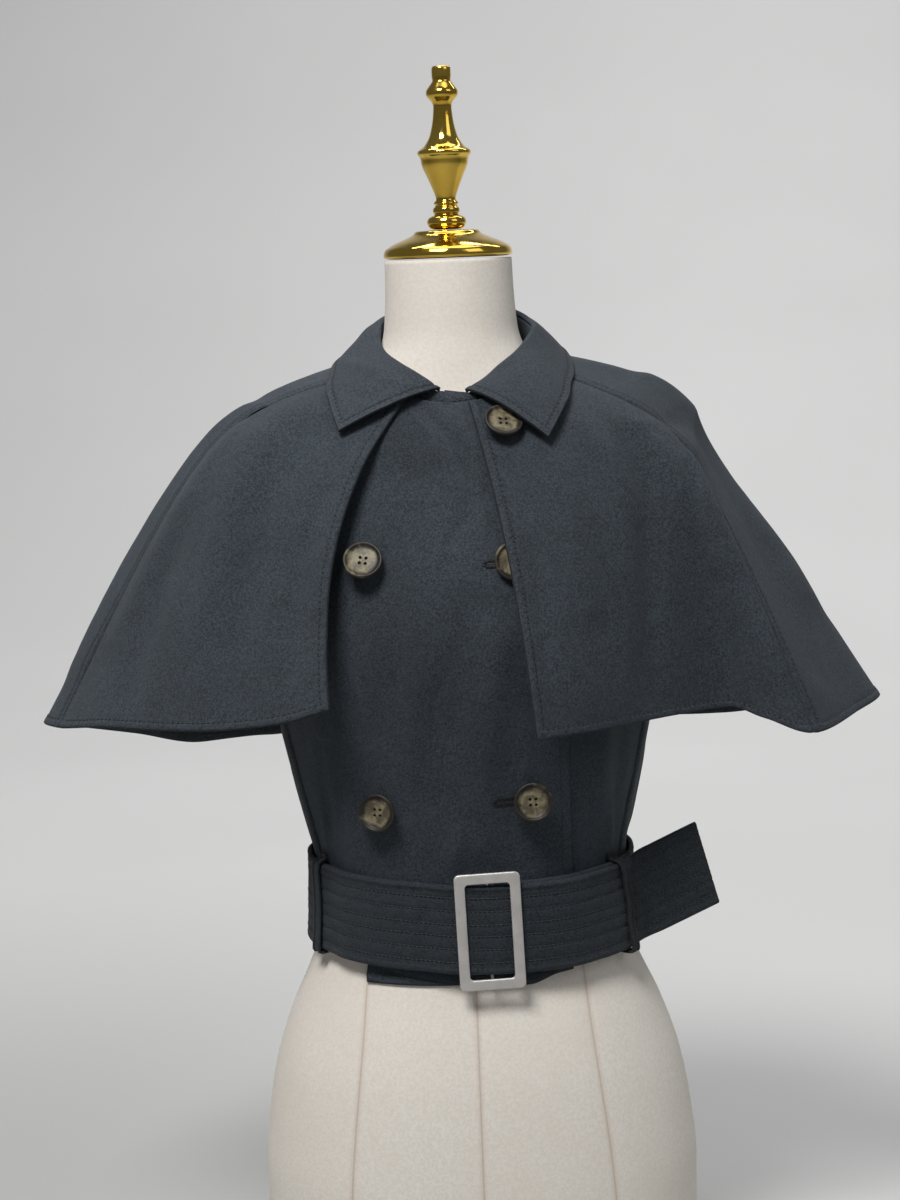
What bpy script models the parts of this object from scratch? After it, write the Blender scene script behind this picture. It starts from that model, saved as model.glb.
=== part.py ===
"""Cropped double-breasted jacket with a shoulder cape and a wide belt, on a limbless dress form.

World frame: metres, +Z up. The front of the form faces -Y, and +X is the wearer's left.
The origin is the middle of the form's flat foot. Plan angles are measured from the front, towards +X.
"""
import math

import bmesh
import bpy
import numpy as np
from mathutils import Matrix, Vector

UP = Vector((0.0, 0.0, 1.0))

# Cloth and seams.
CLOTH = 0.0016
BELT_CLOTH = 0.0028
LOOP_CLOTH = 0.0012
SEAM_TRIM = 0.0002
LAYER_GAP = 0.0012
OVERLAP_LIFT = CLOTH + LAYER_GAP
BELT_GAP = 0.0017
BELT_STEP = BELT_CLOTH + BELT_GAP

# Dress form, from its flat foot to the top of the neck.
# height, half width, front depth, back depth, squareness (2 is an ellipse)
FORM_SECTIONS = (
    (0.000, 0.1600, 0.1100, 0.1180, 2.2),
    (0.060, 0.1665, 0.1150, 0.1250, 2.2),
    (0.125, 0.1680, 0.1165, 0.1265, 2.2),
    (0.166, 0.1640, 0.1155, 0.1245, 2.2),
    (0.206, 0.1570, 0.1130, 0.1165, 2.2),
    (0.247, 0.1435, 0.1070, 0.1040, 2.2),
    (0.280, 0.1285, 0.0995, 0.0920, 2.2),
    (0.300, 0.1205, 0.0950, 0.0850, 2.2),
    (0.320, 0.1150, 0.0920, 0.0805, 2.2),
    (0.345, 0.1125, 0.0905, 0.0780, 2.2),
    (0.370, 0.1130, 0.0915, 0.0785, 2.2),
    (0.400, 0.1180, 0.0960, 0.0820, 2.2),
    (0.440, 0.1268, 0.1030, 0.0880, 2.2),
    (0.480, 0.1340, 0.1110, 0.0920, 2.2),
    (0.520, 0.1380, 0.1180, 0.0955, 2.2),
    (0.550, 0.1395, 0.1205, 0.0985, 2.2),
    (0.580, 0.1410, 0.1170, 0.1000, 2.2),
    (0.610, 0.1450, 0.1090, 0.1010, 2.2),
    (0.640, 0.1520, 0.0980, 0.1000, 2.2),
    (0.664, 0.1580, 0.0875, 0.0965, 2.2),
    (0.682, 0.1620, 0.0800, 0.0925, 2.2),
    (0.692, 0.1590, 0.0745, 0.0885, 2.2),
    (0.7005, 0.1480, 0.0700, 0.0850, 2.2),
    (0.708, 0.1310, 0.0660, 0.0805, 2.2),
    (0.716, 0.1110, 0.0618, 0.0755, 2.2),
    (0.723, 0.0930, 0.0585, 0.0710, 2.15),
    (0.7305, 0.0775, 0.0565, 0.0665, 2.1),
    (0.738, 0.0660, 0.0550, 0.0622, 2.05),
    (0.748, 0.0580, 0.0535, 0.0580, 2.0),
    (0.757, 0.0530, 0.0520, 0.0545, 2.0),
    (0.768, 0.0502, 0.0506, 0.0515, 2.0),
    (0.795, 0.0482, 0.0490, 0.0490, 2.0),
    (0.819, 0.0475, 0.0475, 0.0475, 2.0),
)
FORM_RINGS = 33
FORM_SIDES = 32
NECK_TOP = FORM_SECTIONS[-1][0]

# Room between the form and the jacket: height, distance.
JACKET_EASE = (
    (0.280, 0.0026),
    (0.306, 0.0029),
    (0.335, 0.0056),
    (0.370, 0.0056),
    (0.420, 0.0064),
    (0.460, 0.0070),
    (0.500, 0.0082),
    (0.540, 0.0092),
    (0.580, 0.0090),
    (0.620, 0.0075),
    (0.660, 0.0062),
    (0.690, 0.0080),
    (0.708, 0.0058),
    (0.720, 0.0042),
    (0.745, 0.0028),
    (0.760, 0.0024),
)
# Neckline seam: degrees from the front, height.
NECKLINE = (
    (0, 0.7118),
    (12, 0.7132),
    (30, 0.7190),
    (60, 0.7310),
    (90, 0.7430),
    (135, 0.7510),
    (180, 0.7540),
)
SHOULDER_TIP_HEIGHT = 0.698
# Side seam, then the armhole's edge up to the shoulder tip: height, degrees from the front.
FRONT_SIDE_EDGE = (
    (0.280, 72),
    (0.555, 72),
    (0.575, 70),
    (0.600, 60),
    (0.630, 57),
    (0.645, 60),
    (0.660, 67),
    (0.680, 79),
    (0.698, 90),
)
BACK_SIDE_EDGE = (
    (0.280, 72),
    (0.555, 72),
    (0.570, 78),
    (0.585, 88),
    (0.600, 98),
    (0.620, 108),
    (0.640, 112),
    (0.655, 109),
    (0.680, 98),
    (0.698, 90),
)
# Hems: degrees from the front, on the panel's own side positive, and height.
RIGHT_FRONT_HEM = (
    (-50, 0.2940),
    (-36, 0.2920),
    (-24, 0.2862),
    (0, 0.2893),
    (25, 0.2940),
    (45, 0.3030),
    (60, 0.3075),
    (90, 0.3080),
)
LEFT_FRONT_HEM = (
    (-60, 0.2878),
    (-42, 0.2880),
    (0, 0.2882),
    (20, 0.2890),
    (40, 0.2990),
    (60, 0.3060),
    (90, 0.3070),
)
SIDE_HEM_HEIGHT = 0.3075
RIGHT_FRONT_REACH = 0.0705
LEFT_FRONT_REACH = 0.0800
FRONT_EDGE_LIMIT = 46.0
PANEL_TURN_HEIGHT = 0.58
PANEL_TURN_POWER = 2.2
SHOULDER_SHARE = 0.42
FRONT_COLUMNS = 16
BACK_COLUMNS = 23
# A panel's rows stand closer together from the armhole up.
PANEL_LOW_ROWS = 9
PANEL_HIGH_ROWS = 14
PANEL_LOW_SHARE = 0.50
OVERLAP_END = 52.0
OVERLAP_START = 62.0

# Cape, from the wearer's right front edge round the back to the left front edge.
# Each row is a line from the neck seam over the shoulder to the hem: degrees clockwise from the front
# at the neck, the bend that the line turns round (x, y, z), how sharply it turns, how far the falling
# part is hollowed, and the hem (x, y, z).
CAPE_LINES = (
    (28, -0.1035, -0.1240, 0.6385, 1.0, 0.000, -0.0960, -0.1500, 0.5070),
    (36, -0.1260, -0.1060, 0.6620, 1.2, 0.000, -0.1330, -0.1380, 0.4960),
    (47, -0.1580, -0.0860, 0.6880, 1.6, 0.000, -0.1950, -0.1150, 0.4890),
    (56, -0.1760, -0.0600, 0.7060, 2.2, 0.000, -0.2620, -0.0750, 0.4870),
    (65, -0.1810, -0.0360, 0.7120, 2.5, 0.000, -0.3060, -0.0300, 0.4800),
    (84, -0.1830, 0.0000, 0.7200, 2.5, 0.000, -0.3210, 0.0000, 0.4790),
    (104, -0.1810, 0.0350, 0.7170, 2.3, 0.000, -0.3060, 0.0480, 0.4665),
    (119, -0.1700, 0.0720, 0.7060, 2.0, 0.000, -0.2640, 0.0960, 0.4500),
    (135, -0.1480, 0.1000, 0.6960, 1.7, 0.000, -0.2140, 0.1320, 0.4345),
    (150, -0.1120, 0.1170, 0.6920, 1.5, 0.000, -0.1550, 0.1620, 0.4340),
    (166, -0.0580, 0.1240, 0.6920, 1.3, 0.000, -0.0800, 0.1790, 0.4360),
    (180, 0.0000, 0.1230, 0.6940, 1.2, 0.000, 0.0000, 0.1850, 0.4360),
    (194, 0.0580, 0.1240, 0.6920, 1.3, 0.000, 0.0800, 0.1790, 0.4360),
    (210, 0.1120, 0.1170, 0.6920, 1.5, 0.000, 0.1550, 0.1620, 0.4370),
    (225, 0.1460, 0.1000, 0.6980, 1.8, 0.003, 0.2140, 0.1320, 0.4420),
    (241, 0.1660, 0.0720, 0.7120, 2.2, 0.006, 0.2640, 0.0960, 0.4550),
    (256, 0.1730, 0.0350, 0.7240, 2.7, 0.010, 0.3040, 0.0480, 0.4680),
    (272, 0.1745, 0.0000, 0.7280, 3.0, 0.012, 0.3160, 0.0000, 0.4760),
    (285, 0.1770, -0.0300, 0.7120, 3.0, 0.010, 0.2920, -0.0450, 0.4720),
    (297, 0.1760, -0.0640, 0.6940, 3.0, 0.006, 0.2520, -0.1000, 0.4680),
    (306, 0.1690, -0.0750, 0.6900, 2.4, 0.002, 0.2200, -0.0900, 0.4780),
    (314, 0.1580, -0.0860, 0.6820, 1.9, 0.000, 0.1940, -0.0740, 0.4850),
    (324, 0.1300, -0.1080, 0.6600, 1.4, 0.000, 0.1340, -0.1080, 0.4840),
    (338, 0.0800, -0.1300, 0.6350, 1.1, 0.000, 0.0820, -0.1430, 0.4825),
    (351, 0.0385, -0.1410, 0.6155, 1.0, 0.000, 0.0480, -0.1630, 0.4820),
)
CAPE_RIGHT_SEAM = 4
CAPE_LEFT_SEAM = 19
CAPE_LAST_LINE = len(CAPE_LINES) - 1
CAPE_STATIONS_PER_LINE = 2
CAPE_ROWS = 12
CAPE_NECK_GAP = 0.0011
CAPE_NECK_DROP = 0.0022

# Collar. The stand rises from the neckline to just under the fold.
# Degrees clockwise from the front, height of the fold, and how far the stand leans away from the neck.
FOLD_LINE = (
    (-10, 0.7225, 0.0000),
    (0, 0.7225, 0.0000),
    (10, 0.7250, 0.0000),
    (18, 0.7315, 0.0000),
    (36, 0.7420, 0.0000),
    (67, 0.7570, 0.0000),
    (90, 0.7700, 0.0000),
    (110, 0.7770, 0.0000),
    (135, 0.7805, 0.0000),
    (180, 0.7820, 0.0000),
    (225, 0.7815, 0.0000),
    (248, 0.7780, 0.0008),
    (266, 0.7725, 0.0045),
    (281, 0.7655, 0.0085),
    (293, 0.7575, 0.0060),
    (308, 0.7495, 0.0020),
    (324, 0.7410, 0.0000),
    (342, 0.7283, 0.0000),
    (356, 0.7202, 0.0000),
    (370, 0.7198, 0.0000),
)
COLLAR_CLOTH = 0.0018
FOLD_RADIUS = 0.0010
FALL_SEAM_GAP = 0.0009
FOLD_RISE = FOLD_RADIUS + COLLAR_CLOTH + FALL_SEAM_GAP
STAND_SEAM_RISE = 0.0013
STAND_ROOM_FRONT = 0.0030
STAND_ROOM_BACK = 0.0018
STAND_START = -6.0
STAND_END = 366.0
STAND_COLUMNS = 41
# Fall of the collar, from the wearer's right tip round the back to the left tip.
# Each row: degrees clockwise from the front at the fold, how high the fall arches, its edge's room over
# the cape, and the edge's place along the cape's lines and down them.
FALL_LINES = (
    (10, 0.0120, 0.0075, 1.20, 0.208),
    (20, 0.0100, 0.0050, 1.60, 0.162),
    (38, 0.0070, 0.0020, 2.25, 0.104),
    (60, 0.0050, 0.0012, 3.30, 0.058),
    (80, 0.0040, 0.0012, 4.65, 0.038),
    (100, 0.0040, 0.0012, 6.3, 0.050),
    (122, 0.0060, 0.0010, 7.4, 0.08),
    (146, 0.0090, 0.0010, 8.9, 0.11),
    (180, 0.0110, 0.0010, 11.0, 0.14),
    (214, 0.0090, 0.0010, 13.1, 0.11),
    (238, 0.0050, 0.0010, 14.6, 0.075),
    (260, 0.0010, 0.0010, 16.3, 0.036),
    (280, -0.0010, 0.0012, 18.0, 0.032),
    (300, 0.0035, 0.0014, 19.5, 0.040),
    (322, 0.0080, 0.0040, 21.10, 0.093),
    (340, 0.0120, 0.0085, 22.05, 0.158),
    (351, 0.0160, 0.0095, 22.50, 0.208),
)
FALL_STATIONS_PER_LINE = 1.5
FALL_REACH_SHARE = 0.35
FALL_ROWS = 6
FOLD_STEPS = 4
FOLD_SWING = math.radians(100)

# Belt: one strip, from the buckle's bar round the wearer's left side and the back, through the
# buckle over its own start, under the left loop and out as a free tail. Degrees run on past 360.
BELT_WIDTH = 0.066
BELT_CHANNELS = 7
BELT_CHANNEL_RISE = 0.0005
BELT_BAR_ANGLE = 6.5
BELT_START = 9.5
BELT_LOOP_EXIT = 360.0 + 69.0
BELT_COLUMNS = 52
# degrees, height of the middle of the belt
BELT_HEIGHT = (
    (0, 0.3320),
    (62, 0.3340),
    (120, 0.3380),
    (180, 0.3395),
    (270, 0.3400),
    (296, 0.3390),
    (325, 0.3355),
    (366, 0.3318),
    (390, 0.3315),
    (430, 0.3330),
)
BELT_CLIMB_START = 336.0
BELT_CLIMB_END = 357.0
TAIL_LENGTH = 0.071
TAIL_COLUMNS = 10
TAIL_TURN_LENGTH = 0.026
TAIL_HEADING = math.radians(6)
TAIL_PITCH = math.radians(23)
TAIL_PITCH_LENGTH = 0.020
TAIL_LEAN = math.radians(15)

# Slide buckle: a flat frame with a middle bar set back behind the belt.
BUCKLE_WIDTH = 0.0485
BUCKLE_HEIGHT = 0.0870
BUCKLE_BAND = 0.0078
BUCKLE_THICKNESS = 0.0020
BUCKLE_OUTER_RADIUS = 0.0040
BUCKLE_INNER_RADIUS = 0.0028
BUCKLE_CORNER_STEPS = 5
BUCKLE_FRONT = 0.0003
BUCKLE_LEAN = math.radians(-1.2)
BAR_SIZE = 0.0022
BAR_SETBACK = 0.0043

# Belt loops: degrees at the top and at the bottom, half width in degrees, layers of belt inside.
RIGHT_LOOP = (292.0, 292.0, 2.4, 1)
LEFT_LOOP = (423.0, 425.5, 1.9, 2)
LOOP_TOP_RISE = 0.0070
LOOP_ROOM = 0.0016

# Buttons.
BUTTON_RADIUS = 0.01425
BUTTON_THICKNESS = 0.0045
BUTTON_RIM = 0.0030
BUTTON_DISH = 0.0015
BUTTON_SIDES = 22
BUTTON_HOLE_RADIUS = 0.0009
BUTTON_HOLE_SPACING = 0.0042
BUTTON_REST = 0.0006
# x, height and tilt in degrees (nodding up, then turning to the wearer's left) of each jacket button
JACKET_BUTTONS = {
    "button_upper_right": (-0.0637, 0.6033, 20.0, 14.0),
    "button_upper_left": (0.0359, 0.6005, 0.0, 0.0),
    "button_lower_right": (-0.0612, 0.4245, 13.0, 1.0),
    "button_lower_left": (0.0424, 0.4303, 18.0, -12.0),
}
# The neck button lies on the cape: its place along the cape's lines and down them.
NECK_BUTTON_LINE = 23.15
NECK_BUTTON_SHARE = 0.108
NECK_BUTTON_TILT = (13.0, 8.0)

# Cap and finial, as turned outlines of (radius, height above the top of the neck).
CAP_OUTLINE = (
    (0.0100, 0.0010),
    (0.0482, 0.0010),
    (0.0484, 0.0050),
    (0.0470, 0.0085),
    (0.0400, 0.0125),
    (0.0310, 0.0160),
    (0.0255, 0.0185),
    (0.0235, 0.0215),
    (0.0100, 0.0215),
)
FINIAL_OUTLINE = (
    (0.0000, 0.0220),
    (0.0105, 0.0220),
    (0.0135, 0.0240),
    (0.0150, 0.0275),
    (0.0135, 0.0310),
    (0.0085, 0.0330),
    (0.0100, 0.0345),
    (0.0100, 0.0375),
    (0.0078, 0.0395),
    (0.0096, 0.0415),
    (0.0070, 0.0440),
    (0.0085, 0.0490),
    (0.0130, 0.0600),
    (0.0172, 0.0690),
    (0.0180, 0.0750),
    (0.0200, 0.0775),
    (0.0200, 0.0800),
    (0.0150, 0.0830),
    (0.0105, 0.0900),
    (0.0078, 0.1010),
    (0.0066, 0.1130),
    (0.0080, 0.1160),
    (0.0118, 0.1200),
    (0.0120, 0.1240),
    (0.0085, 0.1285),
    (0.0066, 0.1310),
    (0.0072, 0.1340),
    (0.0072, 0.1405),
    (0.0060, 0.1420),
    (0.0000, 0.1420),
)
TURNED_SIDES = 28


class SmoothTable:
    """Rows of values at rising keys, read between the rows along a smooth curve with no overshoot."""

    def __init__(self, rows):
        table = np.array(rows, dtype=float)
        self.keys = table[:, 0]
        self.values = table[:, 1:]
        steps = np.diff(self.keys)[:, None]
        slopes = np.diff(self.values, axis=0) / steps
        before, after = slopes[:-1], slopes[1:]
        same_way = before * after > 0
        total = np.where(same_way, before + after, 1.0)
        inner = np.where(same_way, 2 * before * after / total, 0.0)
        self.tangents = np.vstack([slopes[:1], inner, slopes[-1:]])

    def __call__(self, key):
        key = min(max(key, self.keys[0]), self.keys[-1])
        row = int(np.searchsorted(self.keys, key, side="right")) - 1
        row = min(max(row, 0), len(self.keys) - 2)
        step = self.keys[row + 1] - self.keys[row]
        part = (key - self.keys[row]) / step
        rest = 1 - part
        return (
            (1 + 2 * part) * rest * rest * self.values[row]
            + part * rest * rest * step * self.tangents[row]
            + part * part * (3 - 2 * part) * self.values[row + 1]
            - part * part * rest * step * self.tangents[row + 1]
        )

    def number(self, key):
        return float(self(key)[0])


form_section = SmoothTable(FORM_SECTIONS)
jacket_ease = SmoothTable(JACKET_EASE)
neckline = SmoothTable(NECKLINE)
fold_line = SmoothTable(FOLD_LINE)
belt_height = SmoothTable(BELT_HEIGHT)
cape_line = SmoothTable([(index,) + line for index, line in enumerate(CAPE_LINES)])
fall_line = SmoothTable([(index,) + line for index, line in enumerate(FALL_LINES)])


def smooth_step(part):
    part = min(max(part, 0.0), 1.0)
    return part * part * (3 - 2 * part)


def from_front(degrees):
    """Turn any plan angle into the angle from the front, 0 to 180."""
    return abs((degrees + 180.0) % 360.0 - 180.0)


def shares(count):
    return [index / (count - 1) for index in range(count)]


# ---- Surfaces that the pieces follow ----

def form_radius(degrees, height):
    half_width, front, back, squareness = form_section(height)
    angle = math.radians(degrees)
    depth = front if math.cos(angle) > 0 else back
    across = abs(math.sin(angle)) / half_width
    along = abs(math.cos(angle)) / depth
    return (across ** squareness + along ** squareness) ** (-1.0 / squareness)


def form_point(degrees, height):
    radius = form_radius(degrees, height)
    angle = math.radians(degrees)
    return Vector((radius * math.sin(angle), -radius * math.cos(angle), height))


def form_normal(degrees, height):
    turn = 0.2
    rise = 0.0008
    around = form_point(degrees + turn, height) - form_point(degrees - turn, height)
    upward = form_point(degrees, height + rise) - form_point(degrees, height - rise)
    return around.cross(upward).normalized()


def off_form(degrees, height, distance):
    return form_point(degrees, height) + form_normal(degrees, height) * distance


def angle_at_x(x, height):
    """Find the front plan angle at which a section of the form reaches a sideways place."""
    low, high = 0.0, 90.0
    for _ in range(24):
        middle = (low + high) / 2
        if form_radius(middle, height) * math.sin(math.radians(middle)) < abs(x):
            low = middle
        else:
            high = middle
    return math.copysign(low, x)


def overlap_lift(degrees):
    """Height of the upper front over the lower one, from the right side seam to its free edge."""
    signed = (degrees + 180.0) % 360.0 - 180.0
    if signed < 0:
        return OVERLAP_LIFT * smooth_step((OVERLAP_START + signed) / (OVERLAP_START - OVERLAP_END))
    return OVERLAP_LIFT * smooth_step((OVERLAP_END - signed) / (OVERLAP_END - 38.0))


def jacket_outside(degrees, height):
    """Distance from the form to the jacket's outer face, both fronts included."""
    return jacket_ease.number(height) + CLOTH + overlap_lift(degrees)


def beside_jacket(degrees, height, distance):
    """A point level with a place on the form, at a level distance from the jacket's outer face."""
    normal = form_normal(degrees, height)
    level = Vector((normal.x, normal.y, 0.0))
    jacket = jacket_outside(degrees, height) / level.length
    return form_point(degrees, height) + level.normalized() * (jacket + distance)


# ---- Sheets and walls ----

def trimmed(grid, gap=SEAM_TRIM):
    """Draw the four edges of a sheet in a little, so that neighbours stay apart."""
    result = [[point.copy() for point in row] for row in grid]
    for row in result:
        row[0] += (row[1] - row[0]).normalized() * gap
        row[-1] += (row[-2] - row[-1]).normalized() * gap
    for column in range(len(result[0])):
        low, next_low = result[0][column], result[1][column]
        high, next_high = result[-1][column], result[-2][column]
        low += (next_low - low).normalized() * gap
        high += (next_high - high).normalized() * gap
    return result


def sheet_normals(grid, flip=False):
    """Unit normals of a sheet, from each point's neighbours along and across it."""
    rows, columns = len(grid), len(grid[0])
    normals = []
    for row in range(rows):
        line = []
        for column in range(columns):
            along = grid[row][min(column + 1, columns - 1)] - grid[row][max(column - 1, 0)]
            across = grid[min(row + 1, rows - 1)][column] - grid[max(row - 1, 0)][column]
            normal = along.cross(across).normalized()
            line.append(-normal if flip else normal)
        normals.append(line)
    return normals


def moved_out(grid, distance, flip=False):
    normals = sheet_normals(grid, flip)
    return [
        [point + normal * distance for point, normal in zip(row, normal_row)]
        for row, normal_row in zip(grid, normals)
    ]


def wall_between(name, inner, outer, material):
    """Close two sheets of the same column count into one solid, also where the inner has two rows."""
    mesh = bmesh.new()
    inner_verts = [[mesh.verts.new(point) for point in row] for row in inner]
    outer_verts = [[mesh.verts.new(point) for point in row] for row in outer]
    columns = len(inner[0])
    for verts in (inner_verts, outer_verts):
        for row in range(len(verts) - 1):
            for column in range(columns - 1):
                corners = (
                    verts[row][column],
                    verts[row][column + 1],
                    verts[row + 1][column + 1],
                    verts[row + 1][column],
                )
                mesh.faces.new(corners)
    for inner_row, outer_row in ((inner_verts[0], outer_verts[0]), (inner_verts[-1], outer_verts[-1])):
        for column in range(columns - 1):
            corners = (inner_row[column], inner_row[column + 1], outer_row[column + 1], outer_row[column])
            mesh.faces.new(corners)
    for column in (0, columns - 1):
        if len(inner) == len(outer):
            for row in range(len(inner) - 1):
                mesh.faces.new((
                    inner_verts[row][column],
                    inner_verts[row + 1][column],
                    outer_verts[row + 1][column],
                    outer_verts[row][column],
                ))
        else:
            rim = [row[column] for row in inner_verts] + [row[column] for row in reversed(outer_verts)]
            mesh.faces.new(rim)
    bmesh.ops.recalc_face_normals(mesh, faces=mesh.faces)
    return finished(name, mesh, material)


def cloth_wall(name, inner, thickness, material, flip=False):
    """Make a cloth wall whose inner face is the given sheet."""
    return wall_between(name, inner, moved_out(inner, thickness, flip), material)


def finished(name, mesh, material):
    data = bpy.data.meshes.new(name)
    mesh.to_mesh(data)
    mesh.free()
    data.materials.append(material)
    data.shade_smooth()
    data.set_sharp_from_angle(angle=math.radians(40))
    body = bpy.data.objects.new(name, data)
    bpy.context.collection.objects.link(body)
    return body


def turned(name, outline, sides, base, material):
    """Turn an outline of (radius, height) round the vertical axis into a closed solid."""
    mesh = bmesh.new()
    rings = []
    for radius, height in outline:
        if radius < 1e-6:
            rings.append([mesh.verts.new((0.0, 0.0, base + height))])
            continue
        ring = []
        for side in range(sides):
            angle = 2 * math.pi * side / sides
            ring.append(mesh.verts.new((radius * math.cos(angle), radius * math.sin(angle), base + height)))
        rings.append(ring)
    for lower, upper in zip(rings, rings[1:]):
        for side in range(sides):
            following = (side + 1) % sides
            corners = []
            for corner in (
                lower[side % len(lower)],
                lower[following % len(lower)],
                upper[following % len(upper)],
                upper[side % len(upper)],
            ):
                if corner not in corners:
                    corners.append(corner)
            mesh.faces.new(corners)
    if len(rings[0]) > 1:
        mesh.faces.new(list(reversed(rings[0])))
    if len(rings[-1]) > 1:
        mesh.faces.new(rings[-1])
    bmesh.ops.recalc_face_normals(mesh, faces=mesh.faces)
    return finished(name, mesh, material)


def surface_material(name, colour, roughness, metallic):
    material = bpy.data.materials.new(name)
    material.use_nodes = True
    shader = material.node_tree.nodes["Principled BSDF"]
    shader.inputs["Base Color"].default_value = (*colour, 1.0)
    shader.inputs["Roughness"].default_value = roughness
    shader.inputs["Metallic"].default_value = metallic
    material.diffuse_color = (*colour, 1.0)
    return material


# ---- Dress form ----

def make_form(material):
    mesh = bmesh.new()
    rings = []
    for share in shares(FORM_RINGS):
        level = share * (len(FORM_SECTIONS) - 1)
        low = min(int(level), len(FORM_SECTIONS) - 2)
        height = FORM_SECTIONS[low][0] + (FORM_SECTIONS[low + 1][0] - FORM_SECTIONS[low][0]) * (level - low)
        ring = [mesh.verts.new(form_point(360.0 * side / FORM_SIDES, height)) for side in range(FORM_SIDES)]
        rings.append(ring)
    for lower, upper in zip(rings, rings[1:]):
        for side in range(FORM_SIDES):
            following = (side + 1) % FORM_SIDES
            mesh.faces.new((lower[side], lower[following], upper[following], upper[side]))
    mesh.faces.new(list(reversed(rings[0])))
    mesh.faces.new(rings[-1])
    bmesh.ops.recalc_face_normals(mesh, faces=mesh.faces)
    finished("dress_form", mesh, material)


# ---- Jacket body ----

def panel_row_shares():
    low = [PANEL_LOW_SHARE * share for share in shares(PANEL_LOW_ROWS)]
    high = [PANEL_LOW_SHARE + (1 - PANEL_LOW_SHARE) * share for share in shares(PANEL_HIGH_ROWS)]
    return low + high[1:]


def panel_top(across, end_degrees):
    """Where a panel ends: along the shoulder seam to the neck, then along the neckline."""
    if across < SHOULDER_SHARE:
        along = across / SHOULDER_SHARE
        return 90.0, SHOULDER_TIP_HEIGHT + (neckline.number(90) - SHOULDER_TIP_HEIGHT) * along
    along = (across - SHOULDER_SHARE) / (1 - SHOULDER_SHARE)
    degrees = 90.0 + (end_degrees - 90.0) * along
    return degrees, neckline.number(from_front(degrees))


def panel_sheet(side, edge_degrees, end_degrees, side_edge, hem, lift, columns):
    """Lay a panel from its side seam to its other edge, and from the hem to the shoulder and neck.

    Angles are on the panel's own side. edge_degrees gives the other edge at a height, end_degrees is
    where that edge meets the neckline, and lift is the distance to the panel at an angle.
    """
    grid = []
    for rise in panel_row_shares():
        row = []
        side_height = SIDE_HEM_HEIGHT + (SHOULDER_TIP_HEIGHT - SIDE_HEM_HEIGHT) * rise
        seam = side_edge.number(side_height)
        turn = max(0.0, (side_height - PANEL_TURN_HEIGHT) / (SHOULDER_TIP_HEIGHT - PANEL_TURN_HEIGHT))
        turn = turn ** PANEL_TURN_POWER
        for across in shares(columns):
            top_degrees, top = panel_top(across, end_degrees)
            hem_edge = edge_degrees(SIDE_HEM_HEIGHT)
            bottom = hem(side_edge.number(SIDE_HEM_HEIGHT) * (1 - across) + hem_edge * across)
            height = bottom + (top - bottom) * rise
            degrees = seam + (edge_degrees(height) - seam) * across
            straight_top = 90.0 + (edge_degrees(top) - 90.0) * across
            own = side * (degrees + (top_degrees - straight_top) * turn)
            row.append(off_form(own, height, jacket_ease.number(height) + lift(own)))
        grid.append(row)
    return trimmed(grid)


def make_fronts(material):
    side_edge = SmoothTable(FRONT_SIDE_EDGE)
    right_hem = SmoothTable(RIGHT_FRONT_HEM)
    left_hem = SmoothTable(LEFT_FRONT_HEM)
    right = panel_sheet(
        -1,
        lambda height: -min(angle_at_x(RIGHT_FRONT_REACH, height), FRONT_EDGE_LIMIT),
        -40.0,
        side_edge,
        right_hem.number,
        overlap_lift_of_upper,
        FRONT_COLUMNS,
    )
    cloth_wall("front_right", right, CLOTH, material, flip=True)
    left = panel_sheet(
        1,
        lambda height: -min(angle_at_x(LEFT_FRONT_REACH, height), FRONT_EDGE_LIMIT),
        -40.0,
        side_edge,
        left_hem.number,
        lambda degrees: 0.0,
        FRONT_COLUMNS,
    )
    cloth_wall("front_left", left, CLOTH, material)


def overlap_lift_of_upper(degrees):
    return OVERLAP_LIFT * smooth_step((OVERLAP_START + degrees) / (OVERLAP_START - OVERLAP_END))


def make_back(material):
    side_edge = SmoothTable(BACK_SIDE_EDGE)
    half = panel_sheet(
        1,
        lambda height: 180.0,
        180.0,
        side_edge,
        lambda degrees: SIDE_HEM_HEIGHT,
        lambda degrees: 0.0,
        BACK_COLUMNS // 2 + 1,
    )
    whole = []
    for row in half:
        middle = row[-1].copy()
        middle.x = 0.0
        mirrored = [Vector((-point.x, point.y, point.z)) for point in row[:-1]]
        whole.append(row[:-1] + [middle] + mirrored[::-1])
    cloth_wall("back", whole, CLOTH, material)


# ---- Cape ----

def cape_point(line, share):
    """A point of the cape's inner face: a place along its lines, and a share of the way to the hem."""
    turn, bend_x, bend_y, bend_z, sharpness, hollow, hem_x, hem_y, hem_z = cape_line(line)
    neck_height = neckline.number(from_front(turn)) - CAPE_NECK_DROP
    neck = off_form(-turn, neck_height, jacket_outside(-turn, neck_height) + CAPE_NECK_GAP)
    bend = Vector((bend_x, bend_y, bend_z))
    hem = Vector((hem_x, hem_y, hem_z))
    rest = 1 - share
    pull = 2 * sharpness * share * rest
    weight = rest * rest + pull + share * share
    point = (neck * (rest * rest) + bend * pull + hem * (share * share)) / weight
    inward = Vector((-hem_x, -hem_y, 0.0)).normalized()
    falling = max(0.0, (share - 0.5) * 2)
    return point + inward * hollow * math.sin(math.pi * falling)


def cape_sheet(first, last):
    columns = round((last - first) * CAPE_STATIONS_PER_LINE) + 1
    grid = []
    for share in shares(CAPE_ROWS):
        grid.append([cape_point(first + (last - first) * across, share) for across in shares(columns)])
    return trimmed(grid)


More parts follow.
